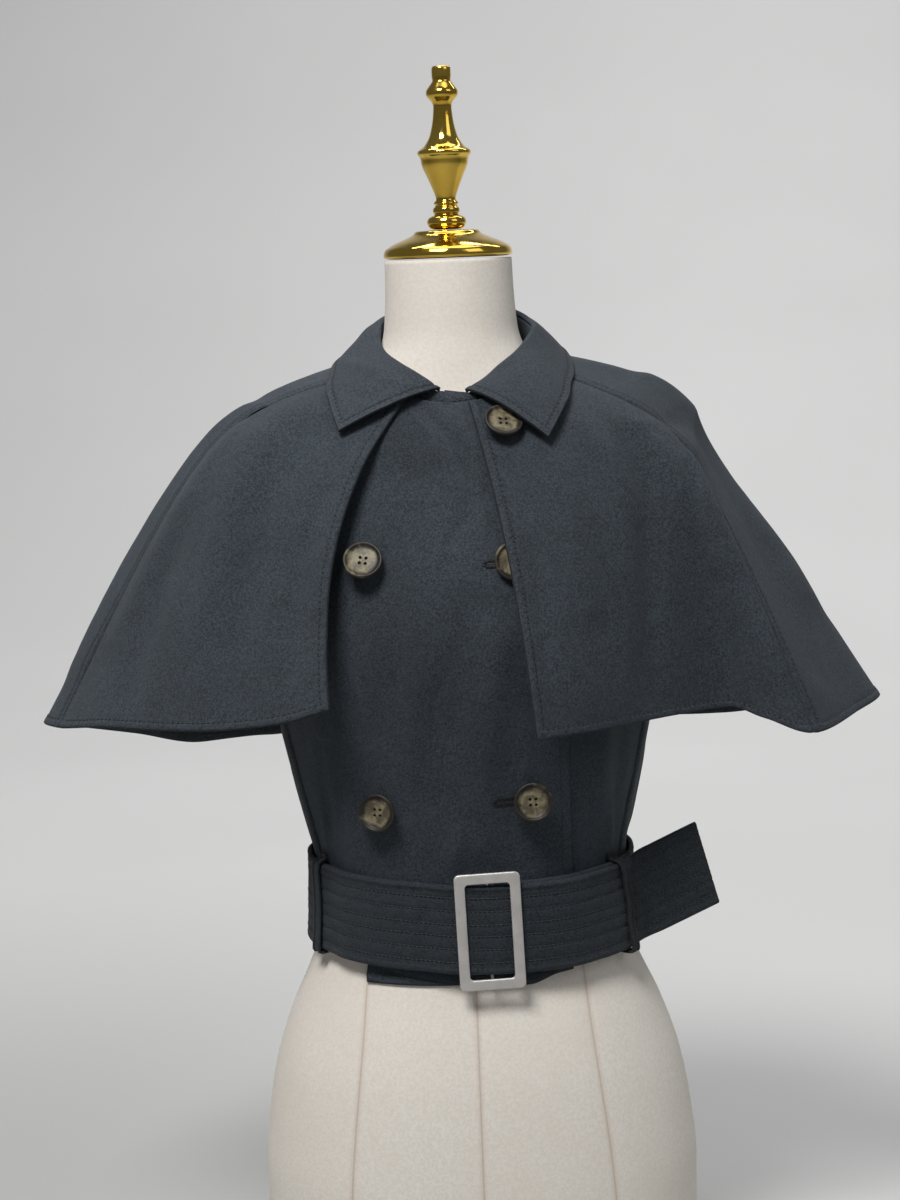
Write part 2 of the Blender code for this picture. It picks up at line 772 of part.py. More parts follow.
def make_cape(material):
    pieces = {
        "cape_front_right": (0, CAPE_RIGHT_SEAM),
        "cape_back": (CAPE_RIGHT_SEAM, CAPE_LEFT_SEAM),
        "cape_front_left": (CAPE_LEFT_SEAM, CAPE_LAST_LINE),
    }
    for name, (first, last) in pieces.items():
        cloth_wall(name, cape_sheet(first, last), CLOTH, material)


# ---- Collar ----

def stand_room(degrees):
    front_share = smooth_step((90.0 - from_front(degrees)) / 60.0)
    return STAND_ROOM_BACK + (STAND_ROOM_FRONT - STAND_ROOM_BACK) * front_share


def stand_sheet():
    """The stand runs once round the neck, and its left end laps over the right one."""
    grid = []
    for rise in shares(3):
        row = []
        for across in shares(STAND_COLUMNS):
            turn = STAND_START + (STAND_END - STAND_START) * across
            lap = OVERLAP_LIFT * smooth_step((turn - 330.0) / 18.0)
            fold, lean = fold_line(turn)
            low = neckline.number(from_front(turn)) + STAND_SEAM_RISE
            height = low + (fold - FOLD_RISE - low) * rise
            row.append(off_form(-turn, height, stand_room(turn) + lap + lean * rise))
        grid.append(row)
    return trimmed(grid)


def cape_normal(line, share):
    """Outward normal of the cape at a place along its lines and down them."""
    step = 0.02
    along = cape_point(line + step, share) - cape_point(line - step, share)
    down = cape_point(line, share + step) - cape_point(line, share - step)
    return along.cross(down).normalized()


def fall_column(line):
    """One line of the collar's fall: up from the stand, over the fold and down to the outer edge."""
    turn, arch, room, edge_line, edge_share = fall_line(line)
    lap = OVERLAP_LIFT * smooth_step((turn - 330.0) / 18.0)
    fold, lean = fold_line(turn)
    high = fold - FOLD_RISE
    normal = form_normal(-turn, high)
    upward = (form_point(-turn, high + 0.001) - form_point(-turn, high - 0.001)).normalized()
    start = off_form(-turn, high, stand_room(turn) + lap + lean)
    centre = start + normal * (COLLAR_CLOTH + FOLD_RADIUS) + upward * FALL_SEAM_GAP
    points = []
    for share in shares(FOLD_STEPS):
        swing = share * FOLD_SWING
        points.append(centre + (upward * math.sin(swing) - normal * math.cos(swing)) * FOLD_RADIUS)
    top = points[-1]
    lie = cape_normal(edge_line, edge_share)
    edge = cape_point(edge_line, edge_share) + lie * (CLOTH + room)
    control = top.lerp(edge, FALL_REACH_SHARE) + lie * arch
    for step in range(1, FALL_ROWS + 1):
        share = step / FALL_ROWS
        rest = 1 - share
        points.append(top * (rest * rest) + control * (2 * share * rest) + edge * (share * share))
    return points


def make_collar(material):
    cloth_wall("collar_stand", stand_sheet(), COLLAR_CLOTH, material, flip=True)
    last = len(FALL_LINES) - 1
    columns = round(last * FALL_STATIONS_PER_LINE) + 1
    lines = [fall_column(last * across) for across in shares(columns)]
    grid = [[line[row] for line in lines] for row in range(len(lines[0]))]
    cloth_wall("collar_fall", trimmed(grid, 0.0001), COLLAR_CLOTH, material)


# ---- Belt ----

def belt_lift(degrees):
    """Distance from the jacket to the belt, which climbs over its own start at the front."""
    climb = smooth_step((degrees - BELT_CLIMB_START) / (BELT_CLIMB_END - BELT_CLIMB_START))
    return BELT_GAP + BELT_STEP * climb


def belt_edges(degrees, extra=0.0):
    """Bottom and top points of the belt's inner face on the body."""
    middle = belt_height.number(degrees)
    points = []
    for height in (middle - BELT_WIDTH / 2, middle + BELT_WIDTH / 2):
        points.append(beside_jacket(degrees, height, belt_lift(degrees) + extra))
    return points


def tail_edges():
    """Edges of the free tail, which leaves the loop, turns away from the body and rises."""
    low, high = belt_edges(BELT_LOOP_EXIT)
    before_low, before_high = belt_edges(BELT_LOOP_EXIT - 1.0)
    middle = (low + high) / 2
    heading_vector = middle - (before_low + before_high) / 2
    start_heading = math.atan2(heading_vector.y, heading_vector.x)
    edges = []
    steps = 6 * TAIL_COLUMNS
    stride = TAIL_LENGTH / steps
    start_lean = (high - low).normalized()
    for step in range(1, steps + 1):
        distance = step * stride
        turn = smooth_step(distance / TAIL_TURN_LENGTH)
        heading = start_heading + (TAIL_HEADING - start_heading) * turn
        climb = smooth_step(distance / TAIL_PITCH_LENGTH)
        level = Vector((math.cos(heading), math.sin(heading), 0.0))
        pitch = TAIL_PITCH * climb
        middle = middle + (level * math.cos(pitch) + UP * math.sin(pitch)) * stride
        lean = TAIL_LEAN * climb
        across = UP * math.cos(lean) - level * math.sin(lean)
        across = start_lean.lerp(across, climb).normalized() * (BELT_WIDTH / 2)
        if step % 6 == 0:
            edges.append((middle - across, middle + across))
    return edges


def belt_lines():
    lines = []
    for across in shares(BELT_COLUMNS):
        lines.append(belt_edges(BELT_START + (BELT_LOOP_EXIT - BELT_START) * across))
    return lines + tail_edges()


def make_belt(material):
    """The belt's outer face is raised between its rows of stitching, over a plain inner face."""
    lines = belt_lines()
    inner = [[line[0] for line in lines], [line[1] for line in lines]]
    normals = sheet_normals(inner)
    outer = []
    rows = 2 * BELT_CHANNELS + 1
    for row, share in enumerate(shares(rows)):
        height = BELT_CLOTH + (BELT_CHANNEL_RISE if row % 2 else 0.0)
        points = []
        for column, line in enumerate(lines):
            normal = normals[0][column].lerp(normals[1][column], share).normalized()
            points.append(line[0].lerp(line[1], share) + normal * height)
        outer.append(points)
    wall_between("belt", inner, outer, material)


# ---- Buckle and loops ----

def rounded_outline(width, height, radius):
    points = []
    centres = ((1, 1, 0), (-1, 1, 90), (-1, -1, 180), (1, -1, 270))
    for side_x, side_z, start in centres:
        for share in shares(BUCKLE_CORNER_STEPS):
            angle = math.radians(start + 90 * share)
            x = side_x * (width / 2 - radius) + radius * math.cos(angle)
            z = side_z * (height / 2 - radius) + radius * math.sin(angle)
            points.append((x, z))
    return points


def add_box(mesh, low, high):
    matrix = Matrix.Translation((low + high) / 2) @ Matrix.Diagonal((*(high - low), 1.0))
    bmesh.ops.create_cube(mesh, size=1.0, matrix=matrix)


def buckle_frame_mesh():
    """The flat frame in its own axes: +X across, -Y forwards, +Z up the belt's width."""
    mesh = bmesh.new()
    outer = rounded_outline(BUCKLE_WIDTH, BUCKLE_HEIGHT, BUCKLE_OUTER_RADIUS)
    window_width = BUCKLE_WIDTH - 2 * BUCKLE_BAND
    window_height = BUCKLE_HEIGHT - 2 * BUCKLE_BAND
    inner = rounded_outline(window_width, window_height, BUCKLE_INNER_RADIUS)
    section = ((outer, 0.0), (outer, -BUCKLE_THICKNESS), (inner, -BUCKLE_THICKNESS), (inner, 0.0))
    loops = []
    for outline, depth in section:
        loops.append([mesh.verts.new((x, depth, z)) for x, z in outline])
    count = len(outer)
    for current, following in zip(loops, loops[1:] + loops[:1]):
        for index in range(count):
            after = (index + 1) % count
            mesh.faces.new((current[index], current[after], following[after], following[index]))
    bmesh.ops.recalc_face_normals(mesh, faces=mesh.faces)
    return mesh


def buckle_placement():
    angle = 360.0 + BELT_BAR_ANGLE
    low, high = belt_edges(angle, BELT_CLOTH + BELT_CHANNEL_RISE)
    before = belt_edges(angle - 1.0)
    after = belt_edges(angle + 1.0)
    upward = (high - low).normalized()
    across = ((after[0] + after[1]) - (before[0] + before[1])).normalized()
    back = upward.cross(across).normalized()
    across = back.cross(upward)
    origin = (low + high) / 2 + back * -BUCKLE_FRONT
    frame = Matrix((across, back, upward)).transposed().to_4x4()
    return Matrix.Translation(origin) @ frame @ Matrix.Rotation(BUCKLE_LEAN, 4, "Y")


def make_buckle(material):
    placement = buckle_placement()
    frame = finished("buckle", buckle_frame_mesh(), material)
    frame.matrix_world = placement
    reach = BUCKLE_HEIGHT / 2 - BUCKLE_BAND * 0.6
    foot = BUCKLE_HEIGHT / 2 - BUCKLE_BAND
    half = BAR_SIZE / 2
    mesh = bmesh.new()
    add_box(mesh, Vector((-half, BAR_SETBACK, -reach)), Vector((half, BAR_SETBACK + BAR_SIZE, reach)))
    bar = finished("buckle_bar_cutter", mesh, material)
    arms = []
    for side in (-1, 1):
        mesh = bmesh.new()
        ends = sorted((side * (foot + 0.0006), side * reach))
        low = Vector((-half, -BUCKLE_THICKNESS / 2, ends[0]))
        high = Vector((half, BAR_SETBACK + BAR_SIZE / 2, ends[1]))
        add_box(mesh, low, high)
        arms.append(finished("buckle_arm_cutter", mesh, material))
    for tool in [bar] + arms:
        tool.matrix_world = placement
        tool.hide_render = True
        tool.display_type = "WIRE"
        union = frame.modifiers.new("join", "BOOLEAN")
        union.operation = "UNION"
        union.object = tool


def loop_sheet(top_degrees, bottom_degrees, half_degrees, layers):
    """A strip that leaves the jacket above the belt, passes over it and comes back below it."""
    depth = layers * BELT_STEP + BELT_GAP + BELT_CHANNEL_RISE + LOOP_ROOM
    middle = belt_height.number(top_degrees)
    top = middle + BELT_WIDTH / 2
    bottom = middle - BELT_WIDTH / 2
    # height, distance from the jacket
    path = (
        (top + LOOP_TOP_RISE, 0.0004),
        (top + 0.0030, 0.0010),
        (top + 0.0008, depth * 0.75),
        (top - 0.0040, depth),
        (top - 0.0200, depth),
        (middle, depth),
        (bottom + 0.0200, depth),
        (bottom + 0.0020, depth),
        (bottom - 0.0012, depth * 0.85),
        (bottom - 0.0016, 0.0012),
    )
    grid = []
    for height, distance in path:
        share = smooth_step((top - height) / (BELT_WIDTH / 2))
        degrees = top_degrees + (bottom_degrees - top_degrees) * share
        row = []
        for side in (-1, 1):
            place = degrees + side * half_degrees
            surface_height = min(max(height, bottom), top + LOOP_TOP_RISE)
            point = beside_jacket(place, surface_height, distance)
            point.z = height
            row.append(point)
        grid.append(row)
    return grid


def make_loops(material):
    for name, loop in (("belt_loop_right", RIGHT_LOOP), ("belt_loop_left", LEFT_LOOP)):
        cloth_wall(name, loop_sheet(*loop), LOOP_CLOTH, material, flip=True)


# ---- Buttons ----

def button_data(material):
    """A turned button with a raised rim, a dished middle and four holes, facing +Z."""
    outline = (
        (0.0000, 0.0000),
        (BUTTON_RADIUS * 0.86, 0.0000),
        (BUTTON_RADIUS, BUTTON_THICKNESS * 0.45),
        (BUTTON_RADIUS * 0.97, BUTTON_THICKNESS * 0.85),
        (BUTTON_RADIUS - BUTTON_RIM * 0.5, BUTTON_THICKNESS),
        (BUTTON_RADIUS - BUTTON_RIM * 1.1, BUTTON_THICKNESS * 0.8),
        (BUTTON_RADIUS * 0.55, BUTTON_THICKNESS - BUTTON_DISH),
        (0.0000, BUTTON_THICKNESS - BUTTON_DISH * 1.1),
    )
    blank = turned("button_blank", outline, BUTTON_SIDES, 0.0, material)
    cutters = []
    for quarter in range(4):
        angle = math.radians(45 + 90 * quarter)
        reach = BUTTON_HOLE_SPACING / math.sqrt(2)
        mesh = bmesh.new()
        place = Vector((reach * math.cos(angle), reach * math.sin(angle), BUTTON_THICKNESS / 2))
        bmesh.ops.create_cone(
            mesh,
            cap_ends=True,
            segments=6,
            radius1=BUTTON_HOLE_RADIUS,
            radius2=BUTTON_HOLE_RADIUS,
            depth=BUTTON_THICKNESS * 2,
            matrix=Matrix.Translation(place),
        )
        cutter = finished("button_hole_cutter", mesh, material)
        cut = blank.modifiers.new("hole", "BOOLEAN")
        cut.operation = "DIFFERENCE"
        cut.object = cutter
        cutters.append(cutter)
    bpy.context.view_layer.update()
    evaluated = blank.evaluated_get(bpy.context.evaluated_depsgraph_get())
    data = bpy.data.meshes.new_from_object(evaluated)
    data.name = "button"
    for tool in cutters + [blank]:
        bpy.data.objects.remove(tool)
    return data


def place_button(name, data, point, normal, nod, turn):
    """Lay a button on a surface, with its holes level, and tilt it about its own middle."""
    sideways = UP.cross(normal).normalized()
    upward = normal.cross(sideways)
    facing = Matrix((sideways, upward, normal)).transposed().to_4x4()
    tilt = Matrix.Rotation(math.radians(-nod), 4, "X") @ Matrix.Rotation(math.radians(turn), 4, "Y")
    lift = BUTTON_RADIUS * math.sin(math.radians(math.hypot(nod, turn)))
    body = bpy.data.objects.new(name, data)
    body.matrix_world = Matrix.Translation(point + normal * (BUTTON_REST + lift)) @ facing @ tilt
    bpy.context.collection.objects.link(body)


def make_buttons(material):
    data = button_data(material)
    for name, (x, height, nod, turn) in JACKET_BUTTONS.items():
        degrees = angle_at_x(x, height)
        normal = form_normal(degrees, height)
        point = off_form(degrees, height, jacket_outside(degrees, height))
        place_button(name, data, point, normal, nod, turn)
    point = cape_point(NECK_BUTTON_LINE, NECK_BUTTON_SHARE)
    normal = cape_normal(NECK_BUTTON_LINE, NECK_BUTTON_SHARE)
    place_button("button_neck", data, point + normal * CLOTH, normal, *NECK_BUTTON_TILT)


def main():
    for thing in list(bpy.data.objects):
        bpy.data.objects.remove(thing)
    cloth = surface_material("jacket_cloth", (0.044, 0.055, 0.066), 0.85, 0.0)
    linen = surface_material("form_linen", (0.58, 0.53, 0.46), 0.9, 0.0)
    gold = surface_material("gold_metal", (0.75, 0.52, 0.10), 0.15, 1.0)
    satin = surface_material("buckle_metal", (0.55, 0.53, 0.51), 0.35, 1.0)
    horn = surface_material("button_horn", (0.16, 0.12, 0.09), 0.3, 0.0)
    make_form(linen)
    turned("neck_cap", CAP_OUTLINE, TURNED_SIDES + 8, NECK_TOP, gold)
    turned("finial", FINIAL_OUTLINE, TURNED_SIDES, NECK_TOP, gold)
    make_fronts(cloth)
    make_back(cloth)
    make_collar(cloth)
    make_cape(cloth)
    make_belt(cloth)
    make_buckle(satin)
    make_loops(cloth)
    make_buttons(horn)


main()
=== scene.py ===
"""Looks of a cropped double-breasted jacket with a shoulder cape and a wide belt, on its dress form.

Every cloth piece is a thin shell on the form of its solid: the same surface is worked out again on a
finer grid, with hems, seams, stitching and folds added in real sizes. Single sizes are in metres, and
the tables' sizes in millimetres.
"""
import math

import bpy
import numpy as np
from mathutils import Matrix, Vector, noise
from mathutils.bvhtree import BVHTree


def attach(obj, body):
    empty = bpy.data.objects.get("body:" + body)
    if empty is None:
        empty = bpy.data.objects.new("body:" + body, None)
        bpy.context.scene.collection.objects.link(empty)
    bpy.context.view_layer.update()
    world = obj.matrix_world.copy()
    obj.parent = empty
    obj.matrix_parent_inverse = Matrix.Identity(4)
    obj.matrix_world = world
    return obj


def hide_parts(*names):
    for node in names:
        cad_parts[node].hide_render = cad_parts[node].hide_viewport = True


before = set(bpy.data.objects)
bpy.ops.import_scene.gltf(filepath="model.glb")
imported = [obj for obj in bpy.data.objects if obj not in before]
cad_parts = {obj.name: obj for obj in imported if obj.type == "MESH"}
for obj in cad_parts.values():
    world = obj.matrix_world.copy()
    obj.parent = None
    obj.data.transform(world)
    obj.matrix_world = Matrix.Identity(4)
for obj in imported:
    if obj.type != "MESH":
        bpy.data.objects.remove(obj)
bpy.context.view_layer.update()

UP = Vector((0.0, 0.0, 1.0))
MM = 0.001

# Cloth and seams.
CLOTH = 0.0016
BELT_CLOTH = 0.0028
LOOP_CLOTH = 0.0012
LAYER_GAP = 0.0012
OVERLAP_LIFT = CLOTH + LAYER_GAP
BELT_GAP = 0.0017
BELT_STEP = BELT_CLOTH + BELT_GAP

# Dress form, from its flat foot to the top of the neck.
# height, half width, front depth, back depth, squareness (2 is an ellipse)
FORM_SECTIONS = (
    (0, 160, 110, 118, 2.2), (60, 166.5, 115, 125, 2.2), (125, 168, 116.5, 126.5, 2.2),
    (166, 164, 115.5, 124.5, 2.2), (206, 157, 113, 116.5, 2.2), (247, 143.5, 107, 104, 2.2),
    (280, 128.5, 99.5, 92, 2.2), (300, 120.5, 95, 85, 2.2), (320, 115, 92, 80.5, 2.2),
    (345, 112.5, 90.5, 78, 2.2), (370, 113, 91.5, 78.5, 2.2), (400, 118, 96, 82, 2.2),
    (440, 126.8, 103, 88, 2.2), (480, 134, 111, 92, 2.2), (520, 138, 118, 95.5, 2.2),
    (550, 139.5, 120.5, 98.5, 2.2), (580, 141, 117, 100, 2.2), (610, 145, 109, 101, 2.2),
    (640, 152, 98, 100, 2.2), (664, 158, 87.5, 96.5, 2.2), (682, 162, 80, 92.5, 2.2),
    (692, 159, 74.5, 88.5, 2.2), (700.5, 148, 70, 85, 2.2), (708, 131, 66, 80.5, 2.2),
    (716, 111, 61.8, 75.5, 2.2), (723, 93, 58.5, 71, 2.15), (730.5, 77.5, 56.5, 66.5, 2.1),
    (738, 66, 55, 62.2, 2.05), (748, 58, 53.5, 58, 2), (757, 53, 52, 54.5, 2),
    (768, 50.2, 50.6, 51.5, 2), (795, 48.2, 49, 49, 2), (819, 47.5, 47.5, 47.5, 2),
)
NECK_TOP = FORM_SECTIONS[-1][0] * MM

# Room between the form and the jacket: height, distance.
JACKET_EASE = (
    (280, 2.6), (306, 2.9), (335, 5.6), (370, 5.6), (420, 6.4), (460, 7), (500, 8.2), (540, 9.2),
    (580, 9), (620, 7.5), (660, 6.2), (690, 8), (708, 5.8), (720, 4.2), (745, 2.8), (760, 2.4),
)
# Neckline seam: degrees from the front, height.
NECKLINE = (
    (0, 711.8), (12, 713.2), (30, 719), (60, 731), (90, 743), (135, 751), (180, 754),
)
SHOULDER_TIP_HEIGHT = 0.698
# Side seam, then the armhole's edge up to the shoulder tip: height, degrees from the front.
FRONT_SIDE_EDGE = (
    (280, 72), (555, 72), (575, 70), (600, 60), (630, 57), (645, 60), (660, 67), (680, 79), (698, 90),
)
BACK_SIDE_EDGE = (
    (280, 72), (555, 72), (570, 78), (585, 88), (600, 98), (620, 108), (640, 112), (655, 109),
    (680, 98), (698, 90),
)
# Hems: degrees from the front, on the panel's own side positive, and height.
RIGHT_FRONT_HEM = (
    (-50, 294), (-36, 292), (-24, 286.2), (0, 289.3), (25, 294), (45, 303), (60, 307.5), (90, 308),
)
LEFT_FRONT_HEM = (
    (-60, 287.8), (-42, 288), (0, 288.2), (20, 289), (40, 299), (60, 306), (90, 307),
)
SIDE_HEM_HEIGHT = 0.3075
RIGHT_FRONT_REACH = 0.0705
LEFT_FRONT_REACH = 0.0800
FRONT_EDGE_LIMIT = 46.0
FRONT_TOP_END = -40.0
PANEL_TURN_HEIGHT = 0.58
PANEL_TURN_POWER = 2.2
SHOULDER_SHARE = 0.42
OVERLAP_END = 52.0
OVERLAP_START = 62.0
LEFT_OVERLAP_END = 38.0

# Cape, from the wearer's right front edge round the back to the left front edge.
# Each row is a line from the neck seam over the shoulder to the hem: degrees clockwise from the front
# at the neck, the bend that the line turns round (x, y, z), how sharply it turns, how far the falling
# part is hollowed, and the hem (x, y, z).
CAPE_LINES = (
    (28, -103.5, -124, 638.5, 1, 0, -96, -150, 507),
    (36, -126, -106, 662, 1.2, 0, -133, -138, 496),
    (47, -158, -86, 688, 1.6, 0, -195, -115, 489),
    (56, -176, -60, 706, 2.2, 0, -262, -75, 487),
    (65, -181, -36, 712, 2.5, 0, -306, -30, 480),
    (84, -183, 0, 720, 2.5, 0, -321, 0, 479),
    (104, -181, 35, 717, 2.3, 0, -306, 48, 466.5),
    (119, -170, 72, 706, 2, 0, -264, 96, 450),
    (135, -148, 100, 696, 1.7, 0, -214, 132, 434.5),
    (150, -112, 117, 692, 1.5, 0, -155, 162, 434),
    (166, -58, 124, 692, 1.3, 0, -80, 179, 436),
    (180, 0, 123, 694, 1.2, 0, 0, 185, 436),
    (194, 58, 124, 692, 1.3, 0, 80, 179, 436),
    (210, 112, 117, 692, 1.5, 0, 155, 162, 437),
    (225, 146, 100, 698, 1.8, 3, 214, 132, 442),
    (241, 166, 72, 712, 2.2, 6, 264, 96, 455),
    (256, 173, 35, 724, 2.7, 10, 304, 48, 468),
    (272, 174.5, 0, 728, 3, 12, 316, 0, 476),
    (285, 177, -30, 712, 3, 10, 292, -45, 472),
    (297, 176, -64, 694, 3, 6, 252, -100, 468),
    (306, 169, -75, 690, 2.4, 2, 220, -90, 478),
    (314, 158, -86, 682, 1.9, 0, 194, -74, 485),
    (324, 130, -108, 660, 1.4, 0, 134, -108, 484),
    (338, 80, -130, 635, 1.1, 0, 82, -143, 482.5),
    (351, 38.5, -141, 615.5, 1, 0, 48, -163, 482),
)
CAPE_RIGHT_SEAM = 4
CAPE_LEFT_SEAM = 19
CAPE_LAST_LINE = len(CAPE_LINES) - 1
CAPE_NECK_GAP = 0.0011
CAPE_NECK_DROP = 0.0022

# Collar. The stand rises from the neckline to just under the fold.
# Degrees clockwise from the front, height of the fold, and how far the stand leans away from the neck.
FOLD_LINE = (
    (-10, 722.5, 0), (0, 722.5, 0), (10, 725, 0), (18, 731.5, 0), (36, 742, 0), (67, 757, 0),
    (90, 770, 0), (110, 777, 0), (135, 780.5, 0), (180, 782, 0), (225, 781.5, 0), (248, 778, 0.8),
    (266, 772.5, 4.5), (281, 765.5, 8.5), (293, 757.5, 6), (308, 749.5, 2), (324, 741, 0),
    (342, 728.3, 0), (356, 720.2, 0), (370, 719.8, 0),
)
COLLAR_CLOTH = 0.0018
FOLD_RADIUS = 0.0010
FALL_SEAM_GAP = 0.0009
FOLD_RISE = FOLD_RADIUS + COLLAR_CLOTH + FALL_SEAM_GAP
STAND_ROOM_FRONT = 0.0030
STAND_ROOM_BACK = 0.0018
STAND_START = -6.0
STAND_END = 366.0
# Fall of the collar, from the wearer's right tip round the back to the left tip.
# Each row: degrees clockwise from the front at the fold, how high the fall arches, its edge's room over
# the cape, and the edge's place along the cape's lines and down them.
FALL_LINES = (
    (10, 12, 7.5, 1.2, 0.208), (20, 10, 5, 1.6, 0.162), (38, 7, 2, 2.25, 0.104),
    (60, 5, 1.2, 3.3, 0.058), (80, 4, 1.2, 4.65, 0.038), (100, 4, 1.2, 6.3, 0.05),
    (122, 6, 1, 7.4, 0.08), (146, 9, 1, 8.9, 0.11), (180, 11, 1, 11, 0.14), (214, 9, 1, 13.1, 0.11),
    (238, 5, 1, 14.6, 0.075), (260, 1, 1, 16.3, 0.036), (280, -1, 1.2, 18, 0.032),
    (300, 3.5, 1.4, 19.5, 0.04), (322, 8, 4, 21.1, 0.093), (340, 12, 8.5, 22.05, 0.158),
    (351, 16, 9.5, 22.5, 0.208),
)
FALL_REACH_SHARE = 0.35
# how many times the fall's outer edge is smoothed where it crosses the cape's seams
FALL_EDGE_SMOOTHING = 12
FOLD_SWING = math.radians(100)

# Belt: one strip, from the buckle's bar round the wearer's left side and the back, through the
# buckle over its own start, under the left loop and out as a free tail. Degrees run on past 360.
BELT_WIDTH = 0.066
BELT_CHANNELS = 7
BELT_CHANNEL_RISE = 0.0005
BELT_BAR_ANGLE = 6.5
BELT_START = 9.5
BELT_LOOP_EXIT = 360.0 + 69.0
# degrees, height of the middle of the belt
BELT_HEIGHT = (
    (0, 332), (62, 334), (120, 338), (180, 339.5), (270, 340), (296, 339), (325, 335.5), (366, 331.8),
    (390, 331.5), (430, 333),
)
BELT_CLIMB_START = 336.0
BELT_CLIMB_END = 357.0
TAIL_LENGTH = 0.071
TAIL_COLUMNS = 10
TAIL_TURN_LENGTH = 0.026
TAIL_HEADING = math.radians(6)
TAIL_PITCH = math.radians(23)
TAIL_PITCH_LENGTH = 0.020
TAIL_LEAN = math.radians(15)

# Slide buckle: a flat frame with a middle bar set back behind the belt.
BUCKLE_WIDTH = 0.0485
BUCKLE_HEIGHT = 0.0870
BUCKLE_BAND = 0.0078
BUCKLE_OUTER_RADIUS = 0.0040
BUCKLE_INNER_RADIUS = 0.0028
BUCKLE_FRONT = 0.0003
BUCKLE_LEAN = math.radians(-1.2)
BAR_SIZE = 0.0022
BAR_SETBACK = 0.0043

# Belt loops: degrees at the top and at the bottom, half width in degrees, layers of belt inside.
RIGHT_LOOP = (292.0, 292.0, 2.4, 1)
LEFT_LOOP = (423.0, 425.5, 1.9, 2)
LOOP_TOP_RISE = 0.0070
LOOP_ROOM = 0.0016

# Buttons.
BUTTON_RADIUS = 0.01425
BUTTON_HOLE_SPACING = 0.0042
BUTTON_REST = 0.0006
# x, height and tilt in degrees (nodding up, then turning to the wearer's left) of each jacket button
JACKET_BUTTONS = {
    "button_upper_right": (-0.0637, 0.6033, 20.0, 14.0),
    "button_upper_left": (0.0359, 0.6005, 0.0, 0.0),
    "button_lower_right": (-0.0612, 0.4245, 13.0, 1.0),
    "button_lower_left": (0.0424, 0.4303, 18.0, -12.0),
}
# The neck button lies on the cape: its place along the cape's lines and down them.
NECK_BUTTON_LINE = 23.15
NECK_BUTTON_SHARE = 0.108
NECK_BUTTON_TILT = (13.0, 8.0)

# Cap and finial, as turned outlines of (radius, height above the top of the neck).
CAP_OUTLINE = (
    (10, 1), (48.2, 1), (48.4, 5), (47, 8.5), (40, 12.5), (31, 16), (25.5, 18.5), (23.5, 21.5),
    (10, 21.5),
)
FINIAL_OUTLINE = (
    (0, 22), (10.5, 22), (13.5, 24), (15, 27.5), (13.5, 31), (8.5, 33), (10, 34.5), (10, 37.5),
    (7.8, 39.5), (9.6, 41.5), (7, 44), (8.5, 49), (13, 60), (17.2, 69), (18, 75), (20, 77.5), (20, 80),
    (15, 83), (10.5, 90), (7.8, 101), (6.6, 113), (8, 116), (11.8, 120), (12, 124), (8.5, 128.5),
    (6.6, 131), (7.2, 134), (7.2, 140.5), (6, 142), (0, 142),
)

# Front of the collar stand between the leaves: where it starts and ends, over how far it drops there,
# its top and the slope of its top to the degree, and how its foot is tucked under the fronts.
BAND_START = -9.9
BAND_END = 10.8
BAND_DROP = 0.8
BAND_TOP = 0.7208
BAND_SLOPE = 0.00018
BAND_TUCK = 0.0022
BAND_FOOT_INSET = 0.0016


class SmoothTable:
    """Rows of values at rising keys, read between the rows along a smooth curve with no overshoot."""

    def __init__(self, rows, *units):
        table = np.array(rows, dtype=float) * units
        self.keys = table[:, 0]
        self.values = table[:, 1:]
        slopes = np.diff(self.values, axis=0) / np.diff(self.keys)[:, None]
        before, after = slopes[:-1], slopes[1:]
        same_way = before * after > 0
        total = np.where(same_way, before + after, 1.0)
        inner = np.where(same_way, 2 * before * after / total, 0.0)
        self.tangents = np.vstack([slopes[:1], inner, slopes[-1:]])

    def __call__(self, key):
        key = np.clip(key, self.keys[0], self.keys[-1])
        row = np.clip(np.searchsorted(self.keys, key, side="right") - 1, 0, len(self.keys) - 2)
        step = (self.keys[row + 1] - self.keys[row])[..., None]
        part = (key - self.keys[row])[..., None] / step
        rest = 1 - part
        return (
            (1 + 2 * part) * rest * rest * self.values[row]
            + part * rest * rest * step * self.tangents[row]
            + part * part * (3 - 2 * part) * self.values[row + 1]
            - part * part * rest * step * self.tangents[row + 1]
        )

    def number(self, key):
        return self(np.asarray(key, dtype=float))[..., 0]


form_section = SmoothTable(FORM_SECTIONS, MM, MM, MM, MM, 1)
jacket_ease = SmoothTable(JACKET_EASE, MM, MM)
neckline = SmoothTable(NECKLINE, 1, MM)
fold_line = SmoothTable(FOLD_LINE, 1, MM, MM)
belt_height = SmoothTable(BELT_HEIGHT, 1, MM)
cape_line = SmoothTable(
    [(index,) + line for index, line in enumerate(CAPE_LINES)], 1, 1, MM, MM, MM, 1, MM, MM, MM, MM
)
fall_line = SmoothTable([(index,) + line for index, line in enumerate(FALL_LINES)], 1, 1, MM, MM, 1, 1)


def smooth_step(part):
    part = np.clip(part, 0.0, 1.0)
    return part * part * (3 - 2 * part)


def bell(distance, centre, width):
    """A smooth bump of height 1."""
    return np.exp(-((distance - centre) / width) ** 2)


def from_front(degrees):
    """Turn any plan angle into the angle from the front, 0 to 180."""
    return np.abs((degrees + 180.0) % 360.0 - 180.0)


def unit(vectors):
    return vectors / np.linalg.norm(vectors, axis=-1, keepdims=True)


# ---- Surfaces that the pieces follow ----

def form_radius(degrees, height):
    half_width, front, back, squareness = np.moveaxis(form_section(height), -1, 0)
    angle = np.radians(degrees)
    depth = np.where(np.cos(angle) > 0, front, back)
    across = np.abs(np.sin(angle)) / half_width
    along = np.abs(np.cos(angle)) / depth
    return (across ** squareness + along ** squareness) ** (-1.0 / squareness)


